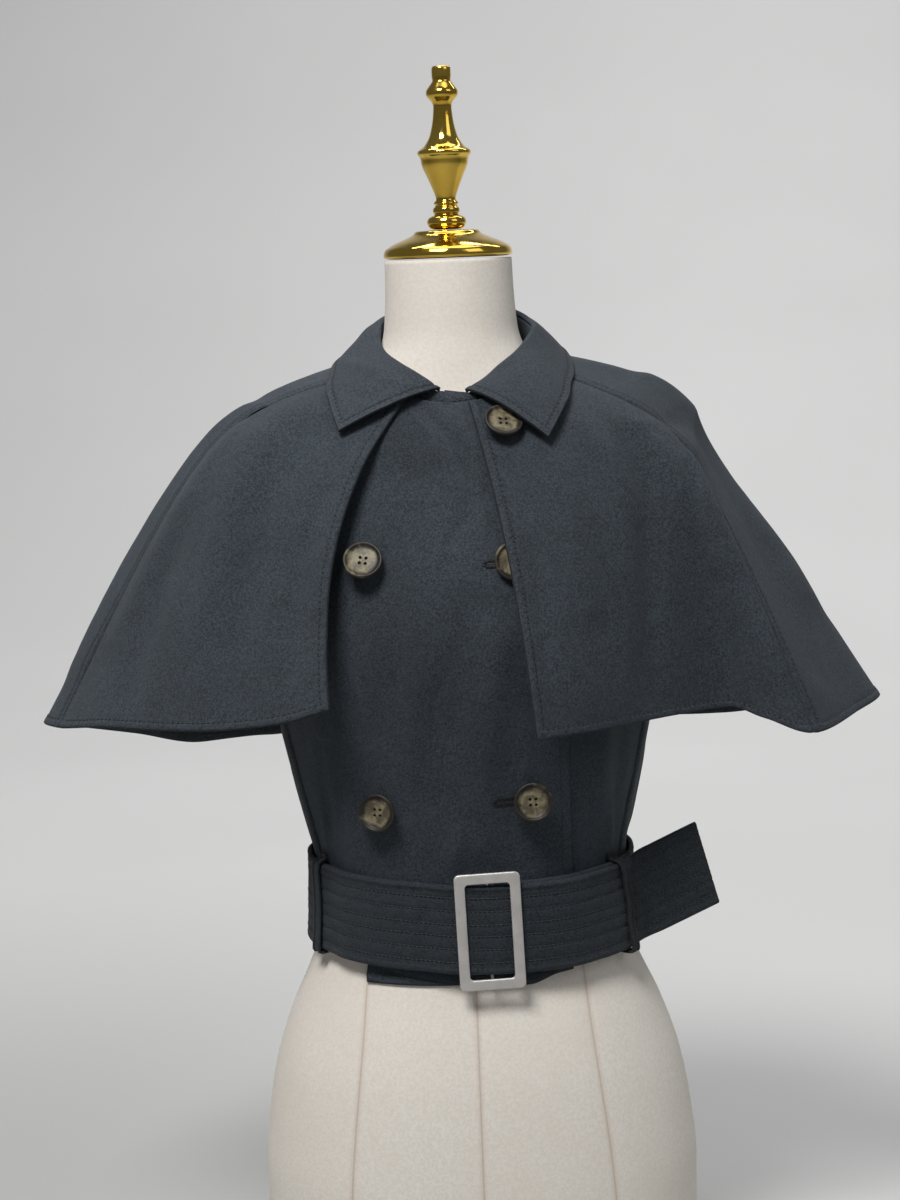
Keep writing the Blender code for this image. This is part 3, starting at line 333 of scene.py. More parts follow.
def form_point(degrees, height):
    degrees, height = np.broadcast_arrays(np.asarray(degrees, float), np.asarray(height, float))
    radius = form_radius(degrees, height)
    angle = np.radians(degrees)
    return np.stack([radius * np.sin(angle), -radius * np.cos(angle), height], -1)


def form_normal(degrees, height):
    turn = 0.2
    rise = 0.0008
    around = form_point(degrees + turn, height) - form_point(degrees - turn, height)
    upward = form_point(degrees, height + rise) - form_point(degrees, height - rise)
    return unit(np.cross(around, upward))


def off_form(degrees, height, distance):
    distance = np.asarray(distance, float)[..., None]
    return form_point(degrees, height) + form_normal(degrees, height) * distance


def angle_at_x(x, height):
    """Find the front plan angle at which a section of the form reaches a sideways place."""
    low = np.zeros_like(height)
    high = np.full_like(height, 90.0)
    for _ in range(24):
        middle = (low + high) / 2
        short = form_radius(middle, height) * np.sin(np.radians(middle)) < abs(x)
        low = np.where(short, middle, low)
        high = np.where(short, high, middle)
    return np.copysign(low, x)


def overlap_lift(degrees):
    """Height of the upper front over the lower one, from the right side seam to its free edge."""
    signed = (degrees + 180.0) % 360.0 - 180.0
    right = OVERLAP_LIFT * smooth_step((OVERLAP_START + signed) / (OVERLAP_START - OVERLAP_END))
    left = OVERLAP_LIFT * smooth_step((OVERLAP_END - signed) / (OVERLAP_END - LEFT_OVERLAP_END))
    return np.where(signed < 0, right, left)


def jacket_outside(degrees, height):
    """Distance from the form to the jacket's outer face, both fronts included."""
    return jacket_ease.number(height) + CLOTH + overlap_lift(degrees)


def beside_jacket(degrees, height, distance):
    """A point level with a place on the form, at a level distance from the jacket's outer face."""
    degrees, height = np.broadcast_arrays(np.asarray(degrees, float), np.asarray(height, float))
    normal = form_normal(degrees, height) * (1.0, 1.0, 0.0)
    length = np.linalg.norm(normal, axis=-1, keepdims=True)
    jacket = jacket_outside(degrees, height)[..., None] / length
    return form_point(degrees, height) + normal / length * (jacket + np.asarray(distance)[..., None])


def panel_top(across, end_degrees):
    """Where a panel ends: along the shoulder seam to the neck, then along the neckline."""
    along = across / SHOULDER_SHARE
    shoulder = SHOULDER_TIP_HEIGHT + (neckline.number(90) - SHOULDER_TIP_HEIGHT) * along
    degrees = 90.0 + (end_degrees - 90.0) * (across - SHOULDER_SHARE) / (1 - SHOULDER_SHARE)
    on_shoulder = across < SHOULDER_SHARE
    degrees = np.where(on_shoulder, 90.0, degrees)
    return degrees, np.where(on_shoulder, shoulder, neckline.number(from_front(degrees)))


def panel_grid(side, edge_degrees, end_degrees, side_edge, hem, lift, rows=150, columns=90):
    """A panel's inner face, from its side seam to its other edge, and from the hem to the top."""
    side_edge = SmoothTable(side_edge, MM, 1)
    across = np.linspace(0, 1, columns)[None, :]
    rise = np.linspace(0, 1, rows)[:, None]
    side_height = SIDE_HEM_HEIGHT + (SHOULDER_TIP_HEIGHT - SIDE_HEM_HEIGHT) * rise
    seam = side_edge.number(side_height)
    turn = np.maximum(0.0, (side_height - PANEL_TURN_HEIGHT) / (SHOULDER_TIP_HEIGHT - PANEL_TURN_HEIGHT))
    turn = turn ** PANEL_TURN_POWER
    top_degrees, top = panel_top(across, end_degrees)
    hem_edge = edge_degrees(np.array([[SIDE_HEM_HEIGHT]]))
    bottom = hem(side_edge.number(SIDE_HEM_HEIGHT) * (1 - across) + hem_edge * across)
    height = bottom + (top - bottom) * rise
    degrees = seam + (edge_degrees(height) - seam) * across
    straight_top = 90.0 + (edge_degrees(top) - 90.0) * across
    own = side * (degrees + (top_degrees - straight_top) * turn)
    return off_form(own, height, jacket_ease.number(height) + lift(own))


def cape_point(line, share):
    """A point of the cape's inner face: a place along its lines, and a share of the way to the hem."""
    line, share = np.broadcast_arrays(np.asarray(line, float), np.asarray(share, float))
    values = np.moveaxis(cape_line(line), -1, 0)
    turn, sharpness, hollow = values[0], values[4], values[5]
    bend = np.stack(values[1:4], -1)
    hem = np.stack(values[6:9], -1)
    neck_height = neckline.number(from_front(turn)) - CAPE_NECK_DROP
    neck = off_form(-turn, neck_height, jacket_outside(-turn, neck_height) + CAPE_NECK_GAP)
    rest = 1 - share
    near, bent, far = np.stack([rest * rest, 2 * sharpness * share * rest, share * share])[..., None]
    point = (neck * near + bend * bent + hem * far) / (near + bent + far)
    inward = -unit(hem * (1.0, 1.0, 0.0))
    falling = np.maximum(0.0, (share - 0.5) * 2)
    return point + inward * (hollow * np.sin(np.pi * falling))[..., None]


def cape_normal(line, share):
    """Outward normal of the cape at a place along its lines and down them."""
    step = 0.02
    along = cape_point(line + step, share) - cape_point(line - step, share)
    down = cape_point(line, share + step) - cape_point(line, share - step)
    return unit(np.cross(along, down))


def stand_room(degrees):
    front_share = smooth_step((90.0 - from_front(degrees)) / 60.0)
    return STAND_ROOM_BACK + (STAND_ROOM_FRONT - STAND_ROOM_BACK) * front_share


def stand_lap(turn):
    return OVERLAP_LIFT * smooth_step((turn - 330.0) / 18.0)


def stand_grid(rows=16, columns=720):
    """The stand runs once round the neck, and its left end laps over the right one."""
    turn = np.linspace(STAND_START, STAND_END, columns)[None, :]
    rise = np.linspace(0, 1, rows)[:, None]
    around = from_front(turn)
    fold, lean = np.moveaxis(fold_line(turn), -1, 0)
    signed = np.where(turn > 180, turn - 360, turn)
    at_front = smooth_step((signed - BAND_START) / BAND_DROP) * smooth_step((BAND_END - signed) / BAND_DROP)
    low = neckline.number(around) - BAND_TUCK
    high = fold - FOLD_RISE
    high = high + (BAND_TOP + BAND_SLOPE * signed - high) * at_front
    height = low + (high - low) * rise
    room = stand_room(turn) + stand_lap(turn) + lean * rise - BAND_FOOT_INSET * (1 - rise) ** 3
    return off_form(-turn + 0 * height, height, room)


def fall_grid(columns=140, fold_steps=9, fall_rows=36):
    """The collar's fall: up from the stand, over the fold and down to the outer edge."""
    line = np.linspace(0, len(FALL_LINES) - 1, columns)
    turn, arch, room, edge_line, edge_share = np.moveaxis(fall_line(line), -1, 0)
    fold, lean = np.moveaxis(fold_line(turn), -1, 0)
    high = fold - FOLD_RISE
    normal = form_normal(-turn, high)
    upward = unit(form_point(-turn, high + 0.001) - form_point(-turn, high - 0.001))
    start = off_form(-turn, high, stand_room(turn) + stand_lap(turn) + lean)
    centre = start + normal * (COLLAR_CLOTH + FOLD_RADIUS) + upward * FALL_SEAM_GAP
    rows = []
    for swing in np.linspace(0, FOLD_SWING, fold_steps):
        rows.append(centre + (upward * math.sin(swing) - normal * math.cos(swing)) * FOLD_RADIUS)
    top = rows[-1]
    lie = cape_normal(edge_line, edge_share)
    edge = cape_point(edge_line, edge_share) + lie * (CLOTH + room)[:, None]
    for _ in range(FALL_EDGE_SMOOTHING):
        edge[1:-1] = (edge[:-2] + edge[2:]) / 4 + edge[1:-1] / 2
    control = top + (edge - top) * FALL_REACH_SHARE + lie * arch[:, None]
    for share in np.linspace(0, 1, fall_rows + 1)[1:]:
        rest = 1 - share
        rows.append(top * (rest * rest) + control * (2 * share * rest) + edge * (share * share))
    return np.stack(rows)


def belt_lift(degrees):
    """Distance from the jacket to the belt, which climbs over its own start at the front."""
    climb = smooth_step((degrees - BELT_CLIMB_START) / (BELT_CLIMB_END - BELT_CLIMB_START))
    return BELT_GAP + BELT_STEP * climb


def belt_edges(degrees, extra=0.0):
    """Bottom and top points of the belt's inner face on the body."""
    middle = belt_height.number(degrees)
    lift = belt_lift(degrees) + extra
    return [beside_jacket(degrees, middle + side * BELT_WIDTH / 2, lift) for side in (-1, 1)]


def tail_edges():
    """Edges of the free tail, which leaves the loop, turns away from the body and rises."""
    low, high = (Vector(point) for point in belt_edges(np.array(BELT_LOOP_EXIT)))
    before = sum(belt_edges(np.array(BELT_LOOP_EXIT - 1.0))) / 2
    middle = (low + high) / 2
    start_heading = math.atan2(middle.y - before[1], middle.x - before[0])
    edges = []
    steps = 6 * TAIL_COLUMNS
    stride = TAIL_LENGTH / steps
    start_lean = (high - low).normalized()
    for step in range(1, steps + 1):
        distance = step * stride
        turn = float(smooth_step(distance / TAIL_TURN_LENGTH))
        heading = start_heading + (TAIL_HEADING - start_heading) * turn
        climb = float(smooth_step(distance / TAIL_PITCH_LENGTH))
        level = Vector((math.cos(heading), math.sin(heading), 0.0))
        pitch = TAIL_PITCH * climb
        middle = middle + (level * math.cos(pitch) + UP * math.sin(pitch)) * stride
        lean = TAIL_LEAN * climb
        across = UP * math.cos(lean) - level * math.sin(lean)
        across = start_lean.lerp(across, climb).normalized() * (BELT_WIDTH / 2)
        edges.append((middle - across, middle + across))
    return edges


def belt_grid(rows=85, columns=560):
    low, high = belt_edges(np.linspace(BELT_START, BELT_LOOP_EXIT, columns))
    tail = np.array(tail_edges())
    low = np.concatenate([low, tail[:, 0]])
    high = np.concatenate([high, tail[:, 1]])
    share = np.linspace(0, 1, rows)[:, None, None]
    return low[None] + (high - low)[None] * share


def buckle_placement():
    angle = 360.0 + BELT_BAR_ANGLE
    low, high = belt_edges(np.array(angle), BELT_CLOTH + BELT_CHANNEL_RISE)
    before, after = (sum(belt_edges(np.array(angle + turn))) for turn in (-1.0, 1.0))
    upward = Vector(high - low).normalized()
    across = Vector(after - before).normalized()
    back = upward.cross(across).normalized()
    across = back.cross(upward)
    origin = Vector(low + high) / 2 + back * -BUCKLE_FRONT
    axes = Matrix((across, back, upward)).transposed().to_4x4()
    return Matrix.Translation(origin) @ axes @ Matrix.Rotation(BUCKLE_LEAN, 4, "Y")


def loop_grid(top_degrees, bottom_degrees, half_degrees, layers, columns=9):
    """A strip that leaves the jacket above the belt, passes over it and comes back below it."""
    depth = layers * BELT_STEP + BELT_GAP + BELT_CHANNEL_RISE + LOOP_ROOM
    middle = float(belt_height.number(top_degrees))
    top = middle + BELT_WIDTH / 2
    bottom = middle - BELT_WIDTH / 2
    # height, distance from the jacket
    path = np.array((
        (top + LOOP_TOP_RISE, 0.0004),
        (top + 0.0030, 0.0010),
        (top + 0.0008, depth * 0.75),
        (top - 0.0040, depth),
        (top - 0.0200, depth),
        (middle, depth),
        (bottom + 0.0200, depth),
        (bottom + 0.0020, depth),
        (bottom - 0.0012, depth * 0.85),
        (bottom - 0.0016, 0.0012),
    ))
    height, distance = path[:, :1], path[:, 1:]
    share = smooth_step((top - height) / (BELT_WIDTH / 2))
    degrees = top_degrees + (bottom_degrees - top_degrees) * share
    place = degrees + half_degrees * np.linspace(-1, 1, columns)[None, :]
    grid = beside_jacket(place, np.clip(height, bottom, top + LOOP_TOP_RISE), distance + 0 * place)
    grid[..., 2] = height
    return grid


# ---- Fine sheets ----

# Distances from an edge at which a sheet has a line of points, so that hems and seams have form.
PLAIN_MARKS = (0.0, 0.0012, 0.0028)
BAND_MARKS = (0.0, 0.0012, 0.0028, 0.0048)
HEM_MARKS = (0.0, 0.0010, 0.0022, 0.0036, 0.0048, 0.0055, 0.0060, 0.0065, 0.0072, 0.0086, 0.0108)
STITCH_MARK = HEM_MARKS.index(0.0060)
STITCH_DISTANCE = HEM_MARKS[STITCH_MARK]
TROUGH_WIDTH = 0.0009
# start and end (across, along) of a fold in hundredths of its sheet, its width and its height
FOLD_UNITS = (0.01, 0.01, 0.01, 0.01, MM, MM)


def spline_rows(data, places):
    """Read rows of points at fractional places, along a smooth curve through the points."""
    count = data.shape[1]
    low = np.clip(places.astype(int), 0, count - 2)
    part = (places - low)[..., None]
    row = np.arange(len(data))[:, None]
    here, after = data[row, low], data[row, low + 1]
    before = np.where((low == 0)[..., None], 2 * here - after, data[row, np.maximum(low - 1, 0)])
    last = (low == count - 2)[..., None]
    beyond = np.where(last, 2 * after - here, data[row, np.minimum(low + 2, count - 1)])
    bend = 2 * before - 5 * here + 4 * after - beyond
    twist = -before + 3 * here - 3 * after + beyond
    return here + 0.5 * part * ((after - before) + part * (bend + part * twist))


def respaced(data, first_marks, last_marks, step):
    """Lay new points along each row: at the marks near its ends, and evenly between them."""
    gaps = np.linalg.norm(np.diff(data[..., :3], axis=1), axis=2)
    along = np.concatenate([np.zeros((len(data), 1)), np.cumsum(gaps, axis=1)], axis=1)
    total = along[:, -1:]
    room = first_marks[-1] + last_marks[-1]
    count = max(3, round((float(total.mean()) - room) / step))
    squeeze = np.minimum(1.0, 0.8 * total / room)
    first = np.array(first_marks) * squeeze
    last = total - np.array(last_marks[::-1]) * squeeze
    inner = np.arange(1, count) / count
    middle = first[:, -1:] + (last[:, :1] - first[:, -1:]) * inner
    places = np.concatenate([first, middle, last], axis=1)
    index = np.stack([np.interp(place, line, np.arange(len(line))) for place, line in zip(places, along)])
    return np.concatenate([spline_rows(data, index), places[..., None], (total - places)[..., None]], -1)


class Sheet:
    """A fine grid on a surface, with each point's share across and along and its distances to the edges."""

    def __init__(self, grid, step, left, right, start, end, flip=False):
        rows, columns = grid.shape[:2]
        step_across, step_along = np.broadcast_to(step, 2)
        across = np.broadcast_to(np.linspace(0, 1, columns)[None, :, None], (rows, columns, 1))
        along = np.broadcast_to(np.linspace(0, 1, rows)[:, None, None], (rows, columns, 1))
        data = respaced(np.concatenate([grid, across, along], -1), left, right, step_across)
        data = respaced(data.transpose(1, 0, 2), start, end, step_along).transpose(1, 0, 2)
        self.points = data[..., :3]
        self.across, self.along = data[..., 3], data[..., 4]
        self.left, self.right, self.start, self.end = (data[..., 5 + index] for index in range(4))
        self.u = (self.left - self.right) / 2
        self.v = (self.start - self.end) / 2
        self.flip = flip

    def normals(self):
        normal = unit(np.cross(np.gradient(self.points, axis=1), np.gradient(self.points, axis=0)))
        return -normal if self.flip else normal

    def row(self, share):
        return np.searchsorted(self.along[:, 0], share)

    def nearest(self, across, along):
        gap = (self.across - across) ** 2 + (self.along - along) ** 2
        return np.unravel_index(np.argmin(gap), gap.shape)

    def folds(self, rows):
        """Soft ridges and troughs: each row is a fold in FOLD_UNITS."""
        relief = np.zeros_like(self.u)
        for start_across, start_along, end_across, end_along, width, height in np.array(rows) * FOLD_UNITS:
            start = self.nearest(start_across, start_along)
            end = self.nearest(end_across, end_along)
            reach_u = self.u[end] - self.u[start]
            reach_v = self.v[end] - self.v[start]
            reach = max(reach_u ** 2 + reach_v ** 2, 1e-8)
            part = ((self.u - self.u[start]) * reach_u + (self.v - self.v[start]) * reach_v) / reach
            part = np.clip(part, 0, 1)
            off_u = self.u - self.u[start] - part * reach_u
            off_v = self.v - self.v[start] - part * reach_v
            fade = 0.35 + 0.65 * np.sin(np.pi * np.clip(0.12 + 0.76 * part, 0, 1))
            relief += height * fade * np.exp(-(off_u ** 2 + off_v ** 2) / width ** 2)
        return relief

    def uneven(self, size, height, seed):
        """Slight unevenness of real cloth, the same each time."""
        flat = self.points.reshape(-1, 3) / size + seed * 7.3
        values = [noise.noise(Vector(point)) for point in flat]
        return height * np.array(values).reshape(self.u.shape)


def hem_relief(distance, puff=0.00016, trough=0.00050):
    """A turned hem: full from its edge to the stitching, which lies in a trough."""
    share = np.clip(distance / STITCH_DISTANCE, 0, 1)
    return puff * np.sin(np.pi * share) ** 0.6 - trough * bell(distance, STITCH_DISTANCE, TROUGH_WIDTH)


def hem_thickness(distance, cloth, extra=0.0005):
    return cloth + extra * (1 - smooth_step((distance - 0.0056) / 0.0012))


# Rims, from the outer to the inner face: share of the thickness, and reach outwards as a share of it.
ROUND_RIM = ((0.5, 0.22),)
LAYERED_RIM = ((0.16, 0.16), (0.36, 0.16), (0.5, -0.45), (0.64, 0.16), (0.84, 0.16))


def shell(name, sheet, inner, outer, material, edge, rim_form=ROUND_RIM):
    """Close a cloth shell with a rim. edge is each point's distance to a finished edge."""
    rows, columns = inner.shape[:2]
    index = np.arange(rows * columns).reshape(rows, columns)
    quads = np.stack([index[:-1, :-1], index[:-1, 1:], index[1:, 1:], index[1:, :-1]], -1).reshape(-1, 4)
    border = np.concatenate([index[0, :-1], index[:-1, -1], index[-1, :0:-1], index[:0:-1, 0]])
    place_row, place_column = np.unravel_index(border, (rows, columns))
    within = (np.clip(place_row, 1, rows - 2), np.clip(place_column, 1, columns - 2))
    at = (place_row, place_column)
    middle = (inner[at] + outer[at]) / 2
    outward = unit(middle - (inner[within] + outer[within]) / 2)
    width = np.linalg.norm(outer[at] - inner[at], axis=1, keepdims=True)
    count = rows * columns
    near = np.arange(len(border))
    rings = [border]
    rims = []
    for share, reach in rim_form:
        rims.append(outer[at] + (inner[at] - outer[at]) * share + outward * width * reach)
        rings.append(near + 2 * count + len(border) * (len(rims) - 1))
    rings.append(border + count)
    bands = []
    for ring, following in zip(rings, rings[1:]):
        bands.append(np.stack([np.roll(ring, -1), ring, following, np.roll(following, -1)], -1))
    faces = np.concatenate([quads, quads[:, ::-1] + count] + bands)
    verts = np.concatenate([outer.reshape(-1, 3), inner.reshape(-1, 3)] + rims)
    corner = verts[faces]
    spin = np.cross(corner[:, 1] - corner[:, 0], corner[:, 2] - corner[:, 0])
    if (spin * corner[:, 0]).sum() < 0:
        faces = faces[:, ::-1]
    flat_u, flat_v, edges = (
        np.concatenate([values.ravel(), values.ravel()] + [values[at]] * len(rims))
        for values in (sheet.u, sheet.v, edge)
    )
    return mesh_piece(name, verts, faces, [material], uv=(flat_u, flat_v), edge=edges)


def mesh_piece(name, verts, faces, materials, uv=None, edge=None, slots=None):
    data = bpy.data.meshes.new(name)
    data.from_pydata(np.asarray(verts).tolist(), [], [list(face) for face in faces])
    for material in materials:
        data.materials.append(material)
    if slots is not None:
        data.polygons.foreach_set("material_index", np.asarray(slots, dtype=np.int32))
    if uv is not None:
        corners = np.zeros(len(data.loops), dtype=np.int32)
        data.loops.foreach_get("vertex_index", corners)
        layer = data.uv_layers.new(name="cloth")
        flat = np.stack([uv[0][corners], uv[1][corners]], -1)
        layer.data.foreach_set("uv", flat.ravel().astype(np.float32))
    if edge is not None:
        attribute = data.attributes.new("edge", "FLOAT", "POINT")
        attribute.data.foreach_set("value", np.asarray(edge, dtype=np.float32))
    data.update()
    data.shade_smooth()
    piece = bpy.data.objects.new(name, data)
    bpy.context.collection.objects.link(piece)
    return piece


# ---- Stitching ----

THREAD_RADIUS = 0.00032
STITCH_PITCH = 0.0042
STITCH_SIDES = 5
# share of the stitch's length, height over the cloth, share of the thread's radius
STITCH_RINGS = ((0.0, -0.00030, 0.5), (0.2, 0.00006, 1.0), (0.8, 0.00006, 1.0), (1.0, -0.00030, 0.5))
HOLE_RADIUS = 0.00095
HOLE_HEIGHT = 0.00050


def tube_quads(rows, columns):
    """Faces between closed rings of points that follow one another."""
    index = np.arange(rows * columns).reshape(rows, columns)
    after = np.roll(index, -1, axis=1)
    return np.stack([index[:-1], after[:-1], after[1:], index[1:]], -1).reshape(-1, 4)


class Thread:
    """Gathers stitches, and dots in painted shade that stand for needle holes, along lines, then makes them
    into one mesh.
    """

    def __init__(self):
        self.verts = []
        self.faces = []
        self.slots = []
        self.count = 0

    def add(self, points, faces, slot):
        """Take the points of many like parts, and the faces of one."""
        verts = points.reshape(-1, 3)
        offset = np.arange(len(points))[:, None, None] * (len(verts) // len(points))
        self.verts.append(verts)
        self.faces += (np.array(faces) + offset + self.count).reshape(-1, 4).tolist()
        self.slots += [slot] * (len(self.faces) - len(self.slots))
        self.count += len(verts)

    def segments(self, start, end, normal, radius=THREAD_RADIUS, rings=STITCH_RINGS, slot=0):
        """Short rounded threads from start to end points, standing on a surface."""
        tangent = unit(end - start)
        side = unit(np.cross(tangent, normal))
        up = np.cross(side, tangent)
        table = np.array(rings)
        angle = 2 * np.pi * np.arange(STITCH_SIDES) / STITCH_SIDES
        centre = start[:, None] + (end - start)[:, None] * table[None, :, :1]
        centre = centre + up[:, None] * table[None, :, 1:2]
        round_ = side[:, None, None] * np.cos(angle)[None, None, :, None]
        round_ = round_ + up[:, None, None] * np.sin(angle)[None, None, :, None]
        points = centre[:, :, None] + round_ * (radius * table[None, :, 2])[..., None, None]
        self.add(points, tube_quads(len(table), STITCH_SIDES), slot)

    def holes(self, centre, normal, tangent):
        """Small raised dots in a near-black colour, painted shade that shows as needle holes."""
        side = unit(np.cross(tangent, normal))
        ring = [tangent, side, -tangent, -side]
        low = np.stack([centre + part * HOLE_RADIUS for part in ring], 1)
        high = low * 0.8 + centre[:, None] * 0.2 + (normal * HOLE_HEIGHT)[:, None]
        self.add(np.concatenate([low, high], 1), tube_quads(2, 4).tolist() + [(4, 5, 6, 7)], 1)

    def run(self, points, normals, pitch=STITCH_PITCH, gap=0.24):
        """A row of stitches along a line on the cloth."""
        length = np.concatenate([[0], np.cumsum(np.linalg.norm(np.diff(points, axis=0), axis=1))])
        count = int(length[-1] / pitch)
        if count < 2:
            return
        pitch = length[-1] / count

        def read(place, values):
            return np.stack([np.interp(place, length, values[:, axis]) for axis in range(3)], -1)

        knots = np.arange(count) * pitch
        normal = unit(read(knots + pitch / 2, normals))
        start = read(knots + pitch * gap / 2, points)
        end = read(knots + pitch * (1 - gap / 2), points)
        self.segments(start, end, normal)
        self.holes(read(knots, points), unit(read(knots, normals)), unit(end - start))

    def piece(self, name):
        verts = np.concatenate(self.verts)
        return mesh_piece(name, verts, self.faces, [thread_material, hole_shade_material], slots=self.slots)


# ---- Materials ----

TWILL_PITCH = 0.00085
LINEN_PITCH = 0.0011
LINEN_THREADS_ROUND = 700.0


def scaled(values, scale):
    return tuple(value * scale for value in values)


class Nodes:
    """Short names for building a material's nodes."""

    def __init__(self, name):
        self.material = bpy.data.materials.new(name)
        self.material.use_nodes = True
        self.tree = self.material.node_tree
        self.shader = self.tree.nodes["Principled BSDF"]
        self.place = self.node("TexCoord").outputs["Object"]

    def put(self, socket, value):
        if isinstance(value, bpy.types.NodeSocket):
            self.tree.links.new(value, socket)
        else:
            socket.default_value = value

    def node(self, kind, inputs=None, **settings):
        made = self.tree.nodes.new("ShaderNode" + kind)
        for key, value in settings.items():
            setattr(made, key, value)
        for key, value in (inputs or {}).items():
            self.put(made.inputs[key], value)
        return made

    def math(self, operation, *values):
        return self.node("Math", dict(enumerate(values)), operation=operation).outputs[0]

    def ranged(self, value, low, high, to_low=0.0, to_high=1.0):
        inputs = {"Value": value, "From Min": low, "From Max": high, "To Min": to_low, "To Max": to_high}
        return self.node("MapRange", inputs, clamp=True, interpolation_type="SMOOTHSTEP").outputs[0]

    def noise(self, scale, detail=3.0, roughness=0.5, distortion=0.0, vector=None):
        inputs = {"Vector": vector or self.place, "Scale": scale, "Detail": detail}
        inputs.update({"Roughness": roughness, "Distortion": distortion})
        return self.node("TexNoise", inputs).outputs["Fac"]

    def mixed(self, share, first, second):
        made = self.node("Mix", data_type="RGBA")
        self.put(made.inputs[0], share)
        for index, colour in ((6, first), (7, second)):
            self.put(made.inputs[index], (*colour, 1.0) if isinstance(colour, tuple) else colour)
        return made.outputs[2]

    def bump(self, height, distance, strength, under=None):
        inputs = {"Height": height, "Distance": distance, "Strength": strength}
        if under is not None:
            inputs["Normal"] = under
        return self.node("Bump", inputs).outputs["Normal"]

    def axes(self, vector=None):
        return self.node("SeparateXYZ", {"Vector": vector or self.place}).outputs

    def edge(self):
        """The distance to an edge, or the share of a rim, that the mesh carries."""
        return self.node("Attribute", attribute_name="edge").outputs["Fac"]

    def shaded(self, colour, roughness, **others):
        """Give the shader its colour, roughness and other inputs, named with _ for spaces."""
        inputs = {"Base_Color": colour, "Roughness": roughness, **others}
        for name, value in inputs.items():
            self.put(self.shader.inputs[name.replace("_", " ")], value)
        return self.material


def twill_material(name, dark, light, rubbed):
    """Matt cotton twill: fine diagonal ribs, heathered yarns, slightly rubbed edges, and painted shade at
    the rims and along the stitching.
    """
    nodes = Nodes(name)
    cloth = nodes.axes(nodes.node("UVMap", uv_map="cloth").outputs["UV"])
    slant = nodes.math("ADD", cloth[0], cloth[1])
    wobble = nodes.math("MULTIPLY", nodes.noise(320.0, 2.0), 4.0)
    ribs = nodes.math("SINE", nodes.math("MULTIPLY_ADD", slant, 2 * math.pi / TWILL_PITCH, wobble))
    grain = nodes.noise(620.0, 3.0, 0.75)
    heather = nodes.math("MULTIPLY", nodes.noise(1500.0, 2.0, 0.7), 0.38)
    fleck = nodes.math("MULTIPLY_ADD", ribs, 0.012, nodes.math("MULTIPLY_ADD", grain, 0.62, heather))
    colour = nodes.mixed(nodes.ranged(fleck, 0.41, 0.59), dark, light)
    cloudy = nodes.ranged(nodes.noise(95.0, 4.0, 0.6), 0.3, 0.7, 0.0, 0.28)
    colour = nodes.mixed(cloudy, colour, scaled(light, 0.72))
    drift = nodes.ranged(nodes.noise(11.0, 4.0, 0.6), 0.35, 0.68, 0.0, 0.22)
    colour = nodes.mixed(drift, colour, scaled(dark, 1.1))
    # rubbed and paler at the edges and over the hem; painted shade darkens the very rim and the stitched
    # groove, as shadow lines
    edge = nodes.edge()
    patchy = nodes.ranged(nodes.noise(190.0, 3.0, 0.65), 0.40, 0.66)
    worn = nodes.ranged(edge, 0.0016, 0.0, 0.0, 0.25)
    colour = nodes.mixed(nodes.math("MULTIPLY", worn, patchy), colour, rubbed)
    hem = nodes.ranged(edge, 0.0062, 0.0045, 0.0, 0.16)
    colour = nodes.mixed(nodes.math("MULTIPLY", hem, patchy), colour, light)
    # painted shade: the very rim darkened into a thin shadow line along the edge
    colour = nodes.mixed(nodes.ranged(edge, 0.0009, 0.0001, 0.0, 0.8), colour, scaled(dark, 0.35))
    # painted shade in the groove along the stitching
    stitched = nodes.math("ABSOLUTE", nodes.math("SUBTRACT", edge, STITCH_DISTANCE))
    colour = nodes.mixed(nodes.ranged(stitched, 0.0010, 0.0002, 0.0, 0.25), colour, scaled(dark, 0.4))
    band = nodes.ranged(nodes.math("ABSOLUTE", nodes.math("SUBTRACT", edge, 0.0040)), 0.0050, 0.0015)
    puckers = nodes.bump(nodes.math("MULTIPLY", nodes.noise(230.0, 2.0), band), 0.0020, 0.8)
    crumple = nodes.bump(nodes.noise(48.0, 4.0, 0.55), 0.0030, 0.6, puckers)
    weave = nodes.bump(ribs, 0.00012, 0.8, crumple)
    return nodes.shaded(
        colour, nodes.ranged(grain, 0.3, 0.7, 0.72, 0.9), Normal=nodes.bump(grain, 0.00035, 0.9, weave),
        Specular_IOR_Level=0.35, Sheen_Weight=0.06, Sheen_Roughness=0.5, Sheen_Tint=(0.8, 0.88, 1.0, 1.0),
    )


def plain_thread_material(name, colour):
    nodes = Nodes(name)
    twist = nodes.noise(1500.0, 2.0)
    colour = nodes.mixed(nodes.ranged(twist, 0.3, 0.7), scaled(colour, 0.6), colour)
    return nodes.shaded(colour, 0.6, Normal=nodes.bump(twist, 0.0002, 0.6))


